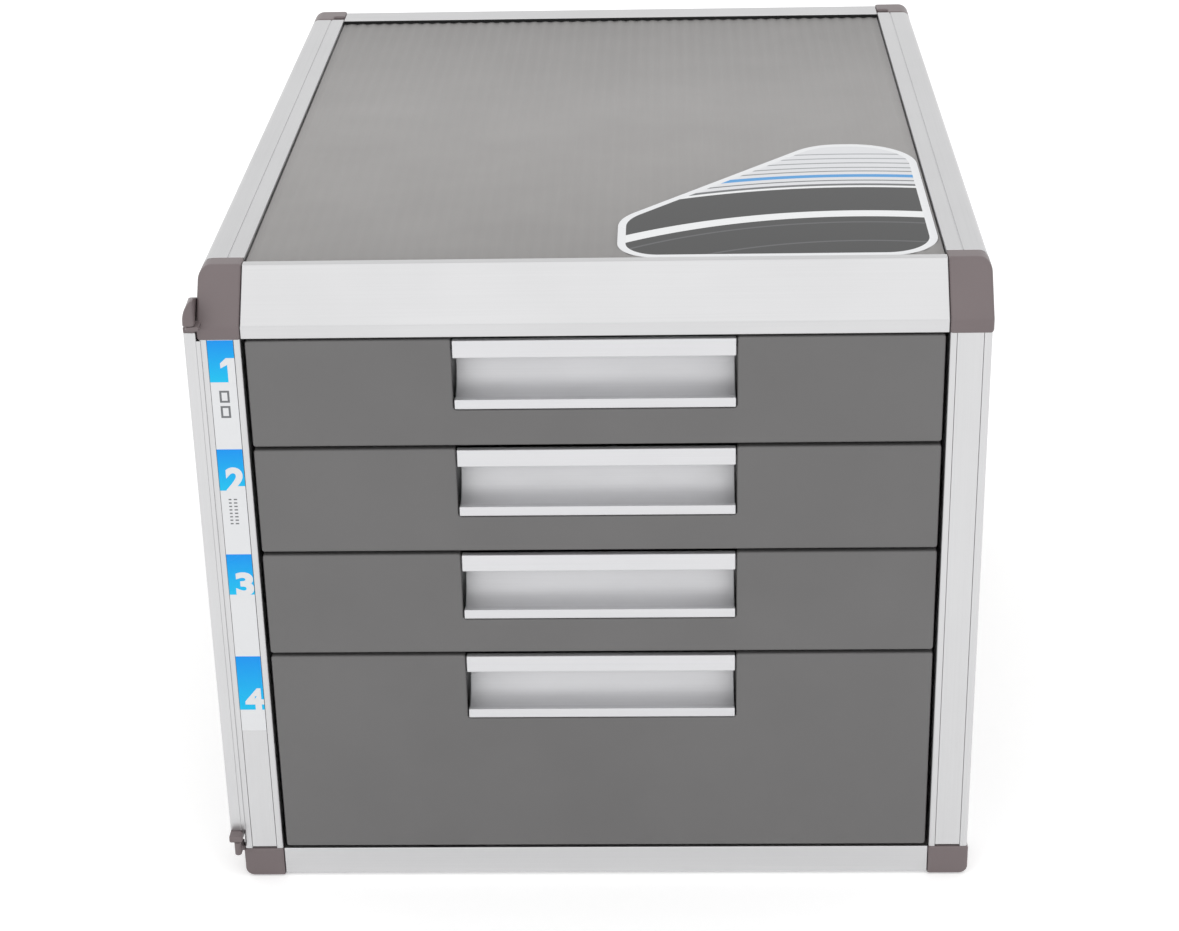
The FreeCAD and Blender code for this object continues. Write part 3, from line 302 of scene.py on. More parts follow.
# %% [markdown]
# ## From a CAD solid to a finished piece
# A CAD solid has knife-sharp edges, and real parts never do: an extrusion leaves its die
# with small radii, a bent sheet is round at its folds and a moulding has a fillet. Each
# edge catches a line of light, which is what makes a part look made. So each solid is
# copied, its loose triangles are merged into whole faces, and its sharp edges are marked
# with the radius they have room for. Edges that run on smoothly, as round a curve, get one
# radius, because a bevel that changes its width along a curve folds over itself. A Bevel
# modifier rounds them, and Weighted Normal keeps the large faces flat.

# %% Merge a CAD solid into whole faces
WELD = 0.001 * MM
FLAT = math.radians(0.5)
SHARP = math.radians(30)
CORNER = math.radians(40)
ROOM_SHARE = 0.42


def weld(mesh):
    """Joins points that lie on one another."""
    bmesh.ops.remove_doubles(mesh, verts=mesh.verts, dist=WELD)


def welded_solid(node):
    """A copy of the triangles of a CAD node, joined where they meet."""
    mesh = bmesh.new()
    mesh.from_mesh(frame["nodes"][node].data)
    weld(mesh)
    return mesh


def merged_solid(node):
    """A copy of a CAD node with its triangles merged into flat faces."""
    mesh = welded_solid(node)
    bmesh.ops.dissolve_limit(mesh, angle_limit=FLAT, verts=mesh.verts, edges=mesh.edges)
    return mesh


def room_beside(edge):
    """How far the narrower face beside an edge reaches from it."""
    start, along = edge.verts[0].co, (edge.verts[1].co - edge.verts[0].co).normalized()
    reach = []
    for face in edge.link_faces:
        offsets = [vert.co - start for vert in face.verts]
        reach.append(max((o - along * o.dot(along)).length for o in offsets))
    return min(reach)


def turn_between(edge, other, vert):
    """How far the line of two edges turns at the vertex that they share."""
    back, on = edge.other_vert(vert).co - vert.co, other.other_vert(vert).co - vert.co
    return math.pi - back.angle(on)


def smooth_chain(first, left):
    """The edges that run on smoothly from one edge, and the tightest radius of their curve."""
    chain, ends, tightest = [], [first], math.inf
    while ends:
        edge = ends.pop()
        chain.append(edge)
        for vert in edge.verts:
            for other in [e for e in vert.link_edges if e in left or e in chain]:
                if other is edge or (turn := turn_between(edge, other, vert)) > CORNER:
                    continue
                if turn > FLAT:
                    tightest = min(tightest, (edge.calc_length() + other.calc_length()) / 2 / turn)
                if other in left:
                    left.remove(other)
                    ends.append(other)
    return chain, tightest


def mark_edges(mesh, radius):
    """Marks sharp edges with the share of the radius that their whole chain has room for."""
    weight = mesh.edges.layers.float.new("bevel_weight_edge")
    left = {edge for edge in mesh.edges
            if len(edge.link_faces) == 2 and edge.calc_face_angle() > SHARP}
    while left:
        chain, tightest = smooth_chain(left.pop(), left)
        room = ROOM_SHARE * min(tightest, *[room_beside(edge) for edge in chain])
        for edge in chain:
            edge[weight] = min(1.0, room / radius)


# %% Make an object of a mesh and give it its place in the cabinet
def piece_of(mesh, name, material, body, replaced=(), smooth=True):
    """Turns a bmesh into a piece that rides on a body and stands for CAD nodes."""
    data = bpy.data.meshes.new(name)
    mesh.to_mesh(data)
    mesh.free()
    for polygon in data.polygons:
        polygon.use_smooth = smooth
    piece = shown(name, data)
    data.materials.append(material)
    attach(piece, body)
    if replaced:
        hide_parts(*replaced)
    return piece


# %% Round the marked edges
FLAT_FACE_WEIGHT = 100


def rounded(piece, radius, segments=3):
    """Rounds the marked edges of a piece, and keeps its flat faces flat."""
    bevel = piece.modifiers.new("rounded_edges", "BEVEL")
    bevel.width = radius
    bevel.segments = segments
    bevel.limit_method = "WEIGHT"
    bevel.use_clamp_overlap = False
    bevel.miter_outer = "MITER_ARC"
    flatten = piece.modifiers.new("flat_faces", "WEIGHTED_NORMAL")
    flatten.keep_sharp = False
    flatten.weight = FLAT_FACE_WEIGHT


def finished(node, radius, material, segments=3):
    """The finished piece for a CAD node: rounded edges and its material."""
    mesh = merged_solid(node)
    mark_edges(mesh, radius)
    rounded(piece_of(mesh, node + "_finished", material, body_of_node[node], [node]), radius, segments)


# %% Run a section along a line
def prism(mesh, outline, run):
    """Adds a closed solid to a mesh: an outline, swept along a straight run."""
    start = [mesh.verts.new(point) for point in outline]
    end = [mesh.verts.new(point + run) for point in outline]
    faces = [mesh.faces.new(start), mesh.faces.new(end)]
    for index in range(len(outline)):
        faces.append(mesh.faces.new((start[index - 1], start[index], end[index], end[index - 1])))
    bmesh.ops.recalc_face_normals(mesh, faces=faces)


# %% [markdown]
# ## The aluminium frame
# Posts stand along z, the front and rear rails lie along x and the side rails along y, so
# each takes the aluminium whose die lines run its way. An extrusion's own edges have a
# radius of a few tenths of a millimetre. The strips let into the front posts are thinner
# and crisper.

# %% Posts, strips and rails
SIDES = ("left", "right")
ENDS = ("front", "rear")
POST_EDGE = 0.12 * MM
STRIP_EDGE = 0.08 * MM
SIDE_RAIL_EDGE = 0.4 * MM
CROSS_RAIL_EDGE = 0.5 * MM
along_x, along_y, along_z = aluminium

for end in ENDS:
    for side in SIDES:
        finished(f"post_{end}_{side}", POST_EDGE, along_z, 2)
for side in SIDES:
    finished(f"post_strip_{side}", STRIP_EDGE, along_z, 2)
    for level in ("top", "bottom"):
        finished(f"rail_{level}_{side}", SIDE_RAIL_EDGE, along_y)
for end in ENDS:
    for level in ("top", "bottom"):
        finished(f"rail_{level}_{end}", CROSS_RAIL_EDGE, along_x)
print("frame bars finished")

# %% [markdown]
# ## Corners and feet
# Each corner is one moulding with spigots that plug into the bars. Its visible edges have a
# fillet of about a millimetre, which shows in the photograph as a paler band.

# %% Corners and feet without a lug
CORNER_FILLET = 1.2 * MM
FOOT_FILLET = 0.9 * MM
FILLET_SEGMENTS = 4

for end, side in (("front", "right"), ("rear", "left"), ("rear", "right")):
    finished(f"corner_top_{end}_{side}", CORNER_FILLET, corner_plastic, FILLET_SEGMENTS)
    finished(f"foot_{end}_{side}", FOOT_FILLET, corner_plastic, FILLET_SEGMENTS)
print("plain corners and feet finished")

# %% [markdown]
# Where three edges of a right corner meet, its bevel swells outwards by a tenth of a
# millimetre. So these two get their bevel for good, and each point is held in the box.

# %% Hold the right corners inside their boxes
for end in ENDS:
    node = f"corner_top_{end}_right"
    piece = bpy.data.objects[node + "_finished"]
    graph = bpy.context.evaluated_depsgraph_get()
    piece.data = bpy.data.meshes.new_from_object(
        piece.evaluated_get(graph), preserve_all_data_layers=True, depsgraph=graph)
    piece.modifiers.clear()
    low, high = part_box(node)
    for vertex in piece.data.vertices:
        vertex.co = [min(max(c, a), b) for c, a, b in zip(vertex.co, low, high)]
print("corners held")

# %% [markdown]
# The front left corner and foot are their right-hand neighbours, mirrored, with a hinge lug
# each. The lugs are swept outlines of their own: fused on, their small edges would leave no
# room for the fillets of the large ones. The axis of the hinge is the middle of the hinge pins.

# %% Corner and foot with a hinge lug
LUG_FILLET = 0.35 * MM
LUG_ROOT = 2.0 * MM
ARM_DEPTH = 8.4 * MM
LUG_STEPS = 12

pins_low, pins_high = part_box("hinge_pins")
hinge = (pins_low + pins_high) / 2
lug_radius = hinge.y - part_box("corner_top_front_left")[0].y


def round_hinge(start, steps):
    """Points round the axis of the hinge, a twelfth of a right angle apart."""
    turns = [start + math.pi / 2 * step / LUG_STEPS for step in steps]
    return [(hinge.x + lug_radius * math.cos(a), hinge.y + lug_radius * math.sin(a)) for a in turns]


def lug_outline(corner_x, rear_y):
    """The plan of a lug: round about the hinge axis at its front left, square elsewhere."""
    return round_hinge(math.pi, range(LUG_STEPS + 1)) + [
        (corner_x, hinge.y - lug_radius), (corner_x, rear_y), (hinge.x - lug_radius, rear_y)]


def block_outline(low_x, low_y, high_x, high_y):
    """The plan of a block between two corners."""
    return [(low_x, low_y), (high_x, low_y), (high_x, high_y), (low_x, high_y)]


def upright(mesh, outline, bottom, top):
    """Adds an upright solid to a mesh, from its plan and its heights."""
    prism(mesh, [Vector((x, y, bottom)) for x, y in outline], Z * (top - bottom))


def with_lug(node, twin, fillet, solids):
    """A mirrored neighbour and the separate solids of its lug, each an outline and its heights."""
    mesh = merged_solid(twin)
    bmesh.ops.scale(mesh, vec=(-1, 1, 1), verts=mesh.verts)
    bmesh.ops.reverse_faces(mesh, faces=mesh.faces)
    mark_edges(mesh, fillet)
    body = body_of_node[node]
    rounded(piece_of(mesh, node + "_finished", corner_plastic, body, [node]), fillet, FILLET_SEGMENTS)
    mesh = bmesh.new()
    for outline, bottom, top in solids:
        upright(mesh, outline, bottom, top)
    mark_edges(mesh, LUG_FILLET)
    rounded(piece_of(mesh, node + "_lug", corner_plastic, body), LUG_FILLET)


# %% Set the lugs
X, Y, Z = Vector((1, 0, 0)), Vector((0, 1, 0)), Vector((0, 0, 1))
LUG_BOTTOM = 5.5 * MM
LUG_HEIGHT = 1.8 * MM
PEG_HEIGHT = 6.0 * MM
ARM_HEIGHT = 2.0 * MM

corner_low, corner_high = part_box("corner_top_front_right")
foot_low, foot_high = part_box("foot_front_right")
post_low, post_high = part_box("post_front_left")
lug_bottom = post_high.z + LUG_BOTTOM
with_lug("corner_top_front_left", "corner_top_front_right", CORNER_FILLET, [
    (lug_outline(-corner_high.x + LUG_ROOT, corner_low.y + LUG_ROOT), lug_bottom, lug_bottom + LUG_HEIGHT)])
foot_top = post_low.z
arm_left, arm_rear = hinge.x - lug_radius, hinge.y + ARM_DEPTH
with_lug("foot_front_left", "foot_front_right", FOOT_FILLET, [
    (round_hinge(0, range(4 * LUG_STEPS)), foot_top, foot_top + PEG_HEIGHT),
    (block_outline(arm_left, hinge.y, hinge.x + lug_radius, arm_rear), foot_top, foot_top + ARM_HEIGHT),
    (block_outline(arm_left, foot_low.y + LUG_ROOT, -foot_high.x + LUG_ROOT, arm_rear),
     foot_top - ARM_HEIGHT, foot_top + LUG_FILLET)])
print("hinge axis at", round(hinge.x / MM, 2), round(hinge.y / MM, 2), "mm")

# %% [markdown]
# ## Ribbed panels
# The panels are thin steel rolled with shallow ribs, which stiffen the sheet and show as
# faint lines along the top and as a wavy edge at its rear. The height of a point follows a
# rule, a cosine of its place across the sheet, so Geometry Nodes make it: a grid is
# raised by the rule, extruded upwards by the thickness and closed from below. The real
# pitch is read off the wavy edge, 5.4 mm.

# %% Start and end a Geometry Nodes tree, and run it
def new_geometry_tree(name, inputs):
    """A tree with named inputs: the tree, their values inside it and their identifiers."""
    tree = bpy.data.node_groups.new(name, "GeometryNodeTree")
    tree.interface.new_socket("Geometry", in_out="OUTPUT", socket_type="NodeSocketGeometry")
    identifiers = {
        label: tree.interface.new_socket(label, in_out="INPUT", socket_type="NodeSocket" + kind).identifier
        for label, kind in inputs}
    return tree, add_node(tree, "NodeGroupInput").outputs, identifiers


def end_tree(tree, geometry, material):
    """Ends a tree: real instances, covered with a material."""
    real = add_node(tree, "GeometryNodeRealizeInstances", {"Geometry": geometry})
    covered = add_node(tree, "GeometryNodeSetMaterial", {
        "Geometry": real.outputs["Geometry"], "Material": material})
    add_node(tree, "NodeGroupOutput", {"Geometry": covered.outputs["Geometry"]})


def made_by(tree, identifiers, values):
    """A plain mesh from a tree, its inputs set by their identifiers."""
    carrier = shown("carrier", bpy.data.meshes.new("carrier"))
    modifier = carrier.modifiers.new("nodes", "NODES")
    modifier.node_group = tree
    for name, value in values.items():
        modifier[identifiers[name]] = value
    graph = bpy.context.evaluated_depsgraph_get()
    data = bpy.data.meshes.new_from_object(carrier.evaluated_get(graph))
    bpy.data.objects.remove(carrier)
    mesh = bmesh.new()
    mesh.from_mesh(data)
    return mesh


# %% The ribbed sheet as a Geometry Nodes tree
PANEL_SHEET = 1.0 * MM
RIB_PITCH = 5.4 * MM
RIB_HEIGHT = 0.35 * MM
STEPS_PER_RIB = 8


def ribbed_sheet_tree():
    """A tree that makes a ribbed sheet from named sizes."""
    tree, given, identifiers = new_geometry_tree("ribbed_sheet", (
        ("Width", "Float"), ("Length", "Float"), ("Thickness", "Float"), ("Rib Pitch", "Float"),
        ("Rib Height", "Float"), ("Columns", "Int"), ("Material", "Material")))
    grid = add_node(tree, "GeometryNodeMeshGrid", {
        "Size X": given["Width"], "Size Y": given["Length"],
        "Vertices X": given["Columns"], "Vertices Y": 2})
    place = add_node(tree, "GeometryNodeInputPosition")
    axes = add_node(tree, "ShaderNodeSeparateXYZ", {"Vector": place.outputs["Position"]})
    height = axes.outputs["X"]
    for operation, value in (("DIVIDE", given["Rib Pitch"]), ("MULTIPLY", math.tau), ("COSINE", 0.0),
                             ("SUBTRACT", 1.0), ("MULTIPLY", given["Rib Height"]), ("MULTIPLY", 0.5),
                             ("SUBTRACT", given["Thickness"])):
        step = add_node(tree, "ShaderNodeMath", {0: height, 1: value}, operation=operation)
        height = step.outputs[0]
    shift = add_node(tree, "ShaderNodeCombineXYZ", {"Z": height})
    under = add_node(tree, "GeometryNodeSetPosition", {
        "Geometry": grid.outputs["Mesh"], "Offset": shift.outputs["Vector"]})
    raised = add_node(tree, "ShaderNodeCombineXYZ", {"Z": given["Thickness"]})
    upper = add_node(tree, "GeometryNodeExtrudeMesh", {
        "Mesh": under.outputs["Geometry"], "Offset": raised.outputs["Vector"],
        "Offset Scale": 1.0, "Individual": False})
    lower = add_node(tree, "GeometryNodeFlipFaces", {"Mesh": under.outputs["Geometry"]})
    both = add_node(tree, "GeometryNodeJoinGeometry")
    for half_sheet in (upper, lower):
        tree.links.new(half_sheet.outputs["Mesh"], both.inputs["Geometry"])
    closed = add_node(tree, "GeometryNodeMergeByDistance", {
        "Geometry": both.outputs["Geometry"], "Distance": WELD})
    end_tree(tree, closed.outputs["Geometry"], given["Material"])
    return tree, identifiers


ribbed_tree, ribbed_inputs = ribbed_sheet_tree()
print("tree of the ribbed sheet,", len(ribbed_tree.nodes), "nodes")

# %% The turned-down edges of the top panel
FOLD_INSET = 0.02 * MM


def add_folds(mesh, low, high):
    """Adds the turned-down edges of a sheet to its mesh: a ring of four walls."""
    middle, half = (low + high) / 2, (high - low) / 2
    top = high.z - (PANEL_SHEET - RIB_HEIGHT / 2)
    rings = [
        [mesh.verts.new((middle.x + x * (half.x - inset), middle.y + y * (half.y - inset), z))
         for x, y in ((-1, -1), (1, -1), (1, 1), (-1, 1))]
        for inset, z in ((FOLD_INSET, low.z), (FOLD_INSET, top), (PANEL_SHEET, top), (PANEL_SHEET, low.z))]
    for ring, following in zip(rings, rings[1:] + rings[:1]):
        for corner in range(4):
            after = (corner + 1) % 4
            mesh.faces.new((ring[corner], ring[after], following[after], following[corner]))


# %% Top, side and back panels
BOTTOM_EDGE = 0.2 * MM
FACING = 0.5


def ribbed_panel(node, across, along, outward, folded=False):
    """A ribbed sheet laid over a CAD panel: its ribs run along one axis, its face looks outward."""
    low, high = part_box(node)
    size = high - low
    width = abs(size.dot(across))
    mesh = made_by(ribbed_tree, ribbed_inputs, {
        "Width": width, "Length": abs(size.dot(along)), "Thickness": PANEL_SHEET - RIB_HEIGHT,
        "Rib Pitch": RIB_PITCH, "Rib Height": RIB_HEIGHT,
        "Columns": int(width / RIB_PITCH * STEPS_PER_RIB) + 1, "Material": panel_paint})
    turn = Matrix((across, along, outward)).transposed().to_4x4()
    surface = (low + high) / 2 + outward * abs(size.dot(outward)) / 2
    bmesh.ops.transform(mesh, matrix=Matrix.Translation(surface) @ turn, verts=mesh.verts)
    if folded:
        add_folds(mesh, low, high)
    piece = piece_of(mesh, node + "_ribbed", panel_paint, body_of_node[node], [node])
    for polygon in piece.data.polygons:
        polygon.use_smooth = abs(polygon.normal.dot(outward)) > FACING


ribbed_panel("panel_top", X, Y, Z, folded=True)
ribbed_panel("panel_left", Z, Y, -X)
ribbed_panel("panel_right", Z, -Y, X)
ribbed_panel("panel_back", Z, X, Y)
finished("panel_bottom", BOTTOM_EDGE, panel_paint, 2)
print("panels ribbed")

# %% A near-black strip between the top panel and the rear rail: painted shade for the deep gap there
REAR_RAIL_DEPTH = 17.0 * MM
SHADE_STRIP_ROOM = 0.15 * MM
SHADE_STRIP_BELOW_RAIL = 0.35 * MM

panel_low, panel_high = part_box("panel_top")
rail_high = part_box("rail_top_rear")[1]
rail_face = rail_high.y - REAR_RAIL_DEPTH
# The strip fills the gap from the panel up to just under the rail's top, so the gap shows as painted black
# shade.
mesh = bmesh.new()
shade_strip_front, shade_strip_top = panel_high.y + SHADE_STRIP_ROOM, rail_high.z - SHADE_STRIP_BELOW_RAIL
section = block_outline(shade_strip_front, panel_low.z, rail_face, shade_strip_top)
prism(mesh, [Vector((panel_low.x, y, z)) for y, z in section], X * (panel_high.x - panel_low.x))
piece_of(mesh, "panel_top_seal", shade_strip_black, "cabinet")
print("seal", round((rail_face - shade_strip_front) / MM, 2), "mm wide")

# %% [markdown]
# ## Drawer fronts and trays
# A front is a sheet folded back at its edges, so its outer edges are round bends of about
# a millimetre. The tray behind it is folded from thinner sheet.

# %% Fronts and trays
DRAWERS = (1, 2, 3, 4)
FRONT_BEND = 1.2 * MM
TRAY_EDGE = 0.3 * MM

for number in DRAWERS:
    finished(f"drawer_front_{number}", FRONT_BEND, front_paint, 4)
    finished(f"drawer_tray_{number}", TRAY_EDGE, tray_paint, 2)
print("fronts and trays finished")

# %% [markdown]
# ## Finger pulls
# The pull is one extrusion: a bar at the top, a lip at the bottom and a round trough
# between them that the fingertips drop into. Its section is drawn here with real arcs, so
# that the light rolls smoothly down the trough, and is then run along the handle.

# %% The section of a pull
HANDLE_BAR = 7.1 * MM
HANDLE_LIP = 3.9 * MM
HANDLE_FACE = 1.8 * MM
HANDLE_WALL = 1.3 * MM
HANDLE_FLANGE = 4.0 * MM
ARC_STEPS = 40


def trough_arc(centre, radius, reach, downwards):
    """Points of the trough from top to bottom, or the other way, behind a plane."""
    half = math.acos(reach / radius)
    angles = [half - 2 * half * step / ARC_STEPS for step in range(ARC_STEPS + 1)]
    if not downwards:
        angles.reverse()
    return [(centre[0] + radius * math.cos(a), centre[1] + radius * math.sin(a)) for a in angles]


def pull_section(low, high):
    """The outline of a pull in y and z, anticlockwise seen from the right."""
    face, top, bottom = low.y, high.z, low.z + HANDLE_FLANGE
    back = face + HANDLE_FACE + HANDLE_WALL
    centre = (face + HANDLE_FACE, (top + bottom) / 2)
    outer = high.y - centre[0]
    points = [(face, top), (face, top - HANDLE_BAR), (back, top - HANDLE_BAR)]
    points += trough_arc(centre, outer - HANDLE_WALL, HANDLE_WALL, True)
    points += [(back, bottom + HANDLE_LIP), (face, bottom + HANDLE_LIP), (face, bottom),
               (centre[0], bottom), (centre[0], low.z), (back, low.z)]
    points += trough_arc(centre, outer, HANDLE_WALL, False)
    points += [(back, top)]
    return points


# %% Run the section along each handle
PULL_EDGE = 0.4 * MM

for number in DRAWERS:
    node = f"drawer_handle_{number}"
    low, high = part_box(node)
    mesh = bmesh.new()
    prism(mesh, [Vector((low.x, y, z)) for y, z in pull_section(low, high)], X * (high.x - low.x))
    mark_edges(mesh, PULL_EDGE)
    rounded(piece_of(mesh, node + "_finished", etched_aluminium, body_of_node[node], [node]), PULL_EDGE)
print("pulls run")

# %% [markdown]
# ## Runners, bar and hinge
# The runners are plain mouldings, seen only with a drawer open. The bar is a flat
# aluminium extrusion with a moulded cap at each end, turning on two steel pins.

# %% Runners, bar and hinge
RUNNER_EDGE = 0.3 * MM
BAR_EDGE = 0.35 * MM
LOW_CAP_FILLET = 0.6 * MM
PIN_EDGE = 0.15 * MM
PAD_EDGE = 0.4 * MM

for number in DRAWERS:
    for side in SIDES:
        finished(f"runner_{side}_{number}", RUNNER_EDGE, runner_plastic, 2)
finished("swing_bar", BAR_EDGE, along_z)
finished("swing_bar_cap_bottom", LOW_CAP_FILLET, corner_plastic)
finished("hinge_pins", PIN_EDGE, zinc_steel, 2)
finished("foot_pads", PAD_EDGE, pad_rubber, 2)
print("runners, bar, lower cap, pins and pads finished")

# %% [markdown]
# The upper cap is a rounded shoulder: seen from the front its outer side rises upright from
# the bar and leans over to the cabinet in an arc. It is drawn as cross-sections from front
# to rear, each lower than the one before it, because a skin over them stays smooth where
# the solid's many short edges would not round well. The knuckle in front is drawn in a little.

# %% The upper cap of the bar
SHOULDER = 12.9 * MM
SHOULDER_RISE = 5.8 * MM
CAP_HEIGHT = 14.4 * MM
CAP_FALL = 9.5 * MM
CAP_ROUND = 1.5 * MM
KNUCKLE_TRIM = 0.8 * MM
KNUCKLE_STEP = 0.8 * MM
CAP_EDGE = 0.25 * MM
KNUCKLE_REACH = 2.2 * MM
KNUCKLE_DEPTH = 2.8 * MM
NOTCH_DEPTH = 4.1 * MM
LUG_GAP = 0.3 * MM
ARC_PARTS = 20
ROUND_PARTS = 8

bar_low, bar_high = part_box("swing_bar")
cap_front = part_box("swing_bar_cap_top")[0].y
arc_x, arc_z = bar_low.x + SHOULDER, bar_high.z + SHOULDER_RISE
notch_low = lug_bottom - LUG_GAP
notch_high = lug_bottom + LUG_HEIGHT + LUG_GAP


def shoulder_section(y, inner, trim, fall=0.0):
    """A cross-section of the cap: upright, then an arc, and cut level where the cap has fallen."""
    reach, level = SHOULDER - trim, bar_high.z + CAP_HEIGHT - fall
    crest = arc_z + math.sqrt(reach ** 2 - (arc_x - inner) ** 2)
    points = [Vector((inner, y, notch_high))]
    for step in range(ARC_PARTS + 1):
        z = crest + (notch_high - crest) * step / ARC_PARTS
        x = arc_x - math.sqrt(reach ** 2 - max(0, z - arc_z) ** 2)
        points.append(Vector((x, y, min(z, level))))
    return points


def skin(mesh, sections):
    """Adds a closed solid to a mesh, from cross-sections with the same number of points."""
    rings = [[mesh.verts.new(point) for point in section] for section in sections]
    faces = [mesh.faces.new(rings[0]), mesh.faces.new(rings[-1])]
    for ring, after in zip(rings, rings[1:]):
        for index in range(len(ring)):
            faces.append(mesh.faces.new((ring[index - 1], ring[index], after[index], after[index - 1])))
    bmesh.ops.recalc_face_normals(mesh, faces=faces)


# %% Skin the upper cap
mesh = bmesh.new()
knuckle_x, knuckle_y = hinge.x + KNUCKLE_REACH, hinge.y + KNUCKLE_DEPTH
sections = []
for step in range(ROUND_PARTS, -1, -1):
    turn = math.pi / 2 * step / ROUND_PARTS
    drawn_in = CAP_ROUND * (1 - math.cos(turn))
    sections.append(shoulder_section(
        cap_front + CAP_ROUND * (1 - math.sin(turn)), knuckle_x - drawn_in, KNUCKLE_TRIM + drawn_in))
sections.append(shoulder_section(knuckle_y - KNUCKLE_STEP, knuckle_x, KNUCKLE_TRIM))
depth = bar_high.y - knuckle_y
for step in range(ROUND_PARTS + 1):
    share = step / ROUND_PARTS
    sections.append(shoulder_section(
        knuckle_y + depth * share, bar_high.x, KNUCKLE_TRIM * (1 - share), CAP_FALL * share))
skin(mesh, sections)
weld(mesh)
for near, low, high in ((bar_low.y, bar_high.z, notch_low),
                        (bar_low.y + NOTCH_DEPTH, notch_low - CAP_EDGE, notch_high + CAP_EDGE)):
    upright(mesh, block_outline(bar_low.x, near, bar_high.x, bar_high.y), low, high)
mark_edges(mesh, CAP_EDGE)
rounded(piece_of(mesh, "swing_bar_cap_top_finished", corner_plastic, "swing_bar", ["swing_bar_cap_top"]),
        CAP_EDGE)
print("upper cap skinned")

# %% The flange of the bar that laps the corner of the post
FLANGE_LAP = 0.8 * MM
FLANGE_WALL = 0.3 * MM
FLANGE_ROOM = 0.1 * MM
FLANGE_DEPTH = 3 * MM
FLANGE_END = 0.4 * MM
FLANGE_EDGE = 0.1 * MM

root, lap = bar_high.x - FLANGE_ROOM / 2, post_low.x + FLANGE_LAP
inner_x, inner_y = post_low.x - FLANGE_ROOM, post_low.y - FLANGE_ROOM
outer_y, rear_y = inner_y - FLANGE_WALL, post_low.y + FLANGE_DEPTH
section = ((root, outer_y), (lap, outer_y), (lap, inner_y),
           (inner_x, inner_y), (inner_x, rear_y), (root, rear_y))
mesh = bmesh.new()
upright(mesh, section, bar_low.z + FLANGE_END, post_high.z - FLANGE_END)
mark_edges(mesh, FLANGE_EDGE)
rounded(piece_of(mesh, "swing_bar_flange", along_z, "swing_bar"), FLANGE_EDGE, 2)
print("flange", round((lap - root) / MM, 2), "mm wide")

# %% [markdown]
# ## Screws
# Sixteen alike pan-head screws hold the trays to the fronts. One screw is made of
# primitives in a Geometry Nodes tree, with a cross cut into its head, and set on a point
# for each place. The points come from the middle of each screw in the frame.

# %% The screw tree
SCREW = {
    "Head Radius": 3.0, "Head Height": 1.8, "Shank Radius": 1.4, "Reach": 8.4,
    "Cross Width": 0.9, "Cross Length": 3.4, "Cross Depth": 2.0}
CROWN_SHARE = 0.62
HEAD_SIDES = 32
SHANK_SIDES = 24
SCREW_WELD = 0.01 * MM


def screw_tree():
    """A tree that sets a cross-head screw on every point, pointing along -y."""
    tree, given, identifiers = new_geometry_tree("pan_head_screws", (
        ("Places", "Object"), *((name, "Float") for name in SCREW), ("Material", "Material")))
    crown = add_node(tree, "ShaderNodeMath", {0: given["Head Radius"], 1: CROWN_SHARE}, operation="MULTIPLY")
    head = add_node(tree, "GeometryNodeMeshCone", {
        "Vertices": HEAD_SIDES, "Side Segments": 1, "Radius Top": crown.outputs[0],
        "Radius Bottom": given["Head Radius"], "Depth": given["Head Height"]})
    lift = add_node(tree, "ShaderNodeCombineXYZ", {"Z": given["Head Height"]})
    cross = add_node(tree, "GeometryNodeMeshBoolean", operation="UNION", solver="EXACT")
    for x, y in (("Cross Length", "Cross Width"), ("Cross Width", "Cross Length")):
        size = add_node(tree, "ShaderNodeCombineXYZ", {
            "X": given[x], "Y": given[y], "Z": given["Cross Depth"]})
        blade = add_node(tree, "GeometryNodeMeshCube", {"Size": size.outputs["Vector"]})
        sunk = add_node(tree, "GeometryNodeSetPosition", {
            "Geometry": blade.outputs["Mesh"], "Offset": lift.outputs["Vector"]})
        tree.links.new(sunk.outputs["Geometry"], cross.inputs["Mesh 2"])
    cut = add_node(tree, "GeometryNodeMeshBoolean", {
        "Mesh 1": head.outputs["Mesh"], "Mesh 2": cross.outputs["Mesh"]},
        operation="DIFFERENCE", solver="EXACT")
    welded = add_node(tree, "GeometryNodeMergeByDistance", {
        "Geometry": cut.outputs["Mesh"], "Distance": SCREW_WELD})
    shank = add_node(tree, "GeometryNodeMeshCone", {
        "Vertices": SHANK_SIDES, "Side Segments": 1, "Radius Top": given["Shank Radius"],
        "Radius Bottom": given["Shank Radius"], "Depth": given["Reach"]})
    drop = add_node(tree, "ShaderNodeMath", {0: given["Reach"], 1: -1.0}, operation="MULTIPLY")
    down = add_node(tree, "ShaderNodeCombineXYZ", {"Z": drop.outputs[0]})
    hung = add_node(tree, "GeometryNodeSetPosition", {
        "Geometry": shank.outputs["Mesh"], "Offset": down.outputs["Vector"]})
    whole = add_node(tree, "GeometryNodeJoinGeometry")
    for half_screw in (welded, hung):
        tree.links.new(half_screw.outputs["Geometry"], whole.inputs["Geometry"])
    places = add_node(tree, "GeometryNodeObjectInfo", {"Object": given["Places"]})
    on_points = add_node(tree, "GeometryNodeInstanceOnPoints", {
        "Points": places.outputs["Geometry"], "Instance": whole.outputs["Geometry"],
        "Rotation": (-math.pi / 2, 0.0, 0.0)})
    end_tree(tree, on_points.outputs["Instances"], given["Material"])
    return tree, identifiers


screws, screw_inputs = screw_tree()
print("tree of the screws,", len(screws.nodes), "nodes")


# %% Set the screws
def box_of(verts):
    """The lowest and highest corners of some points of a mesh."""
    return [Vector(map(pick, zip(*(vert.co for vert in verts)))) for pick in (min, max)]


def solids_of(node):
    """The corners of the box round each separate solid of a CAD node."""
    mesh = welded_solid(node)
    left, boxes = set(mesh.verts), []
    while left:
        island, edge_of_island = set(), [left.pop()]
        while edge_of_island:
            vert = edge_of_island.pop()
            island.add(vert)
            for edge in vert.link_edges:
                other = edge.other_vert(vert)
                if other in left:
                    left.remove(other)
                    edge_of_island.append(other)
        boxes.append(box_of(island))
    mesh.free()
    return boxes


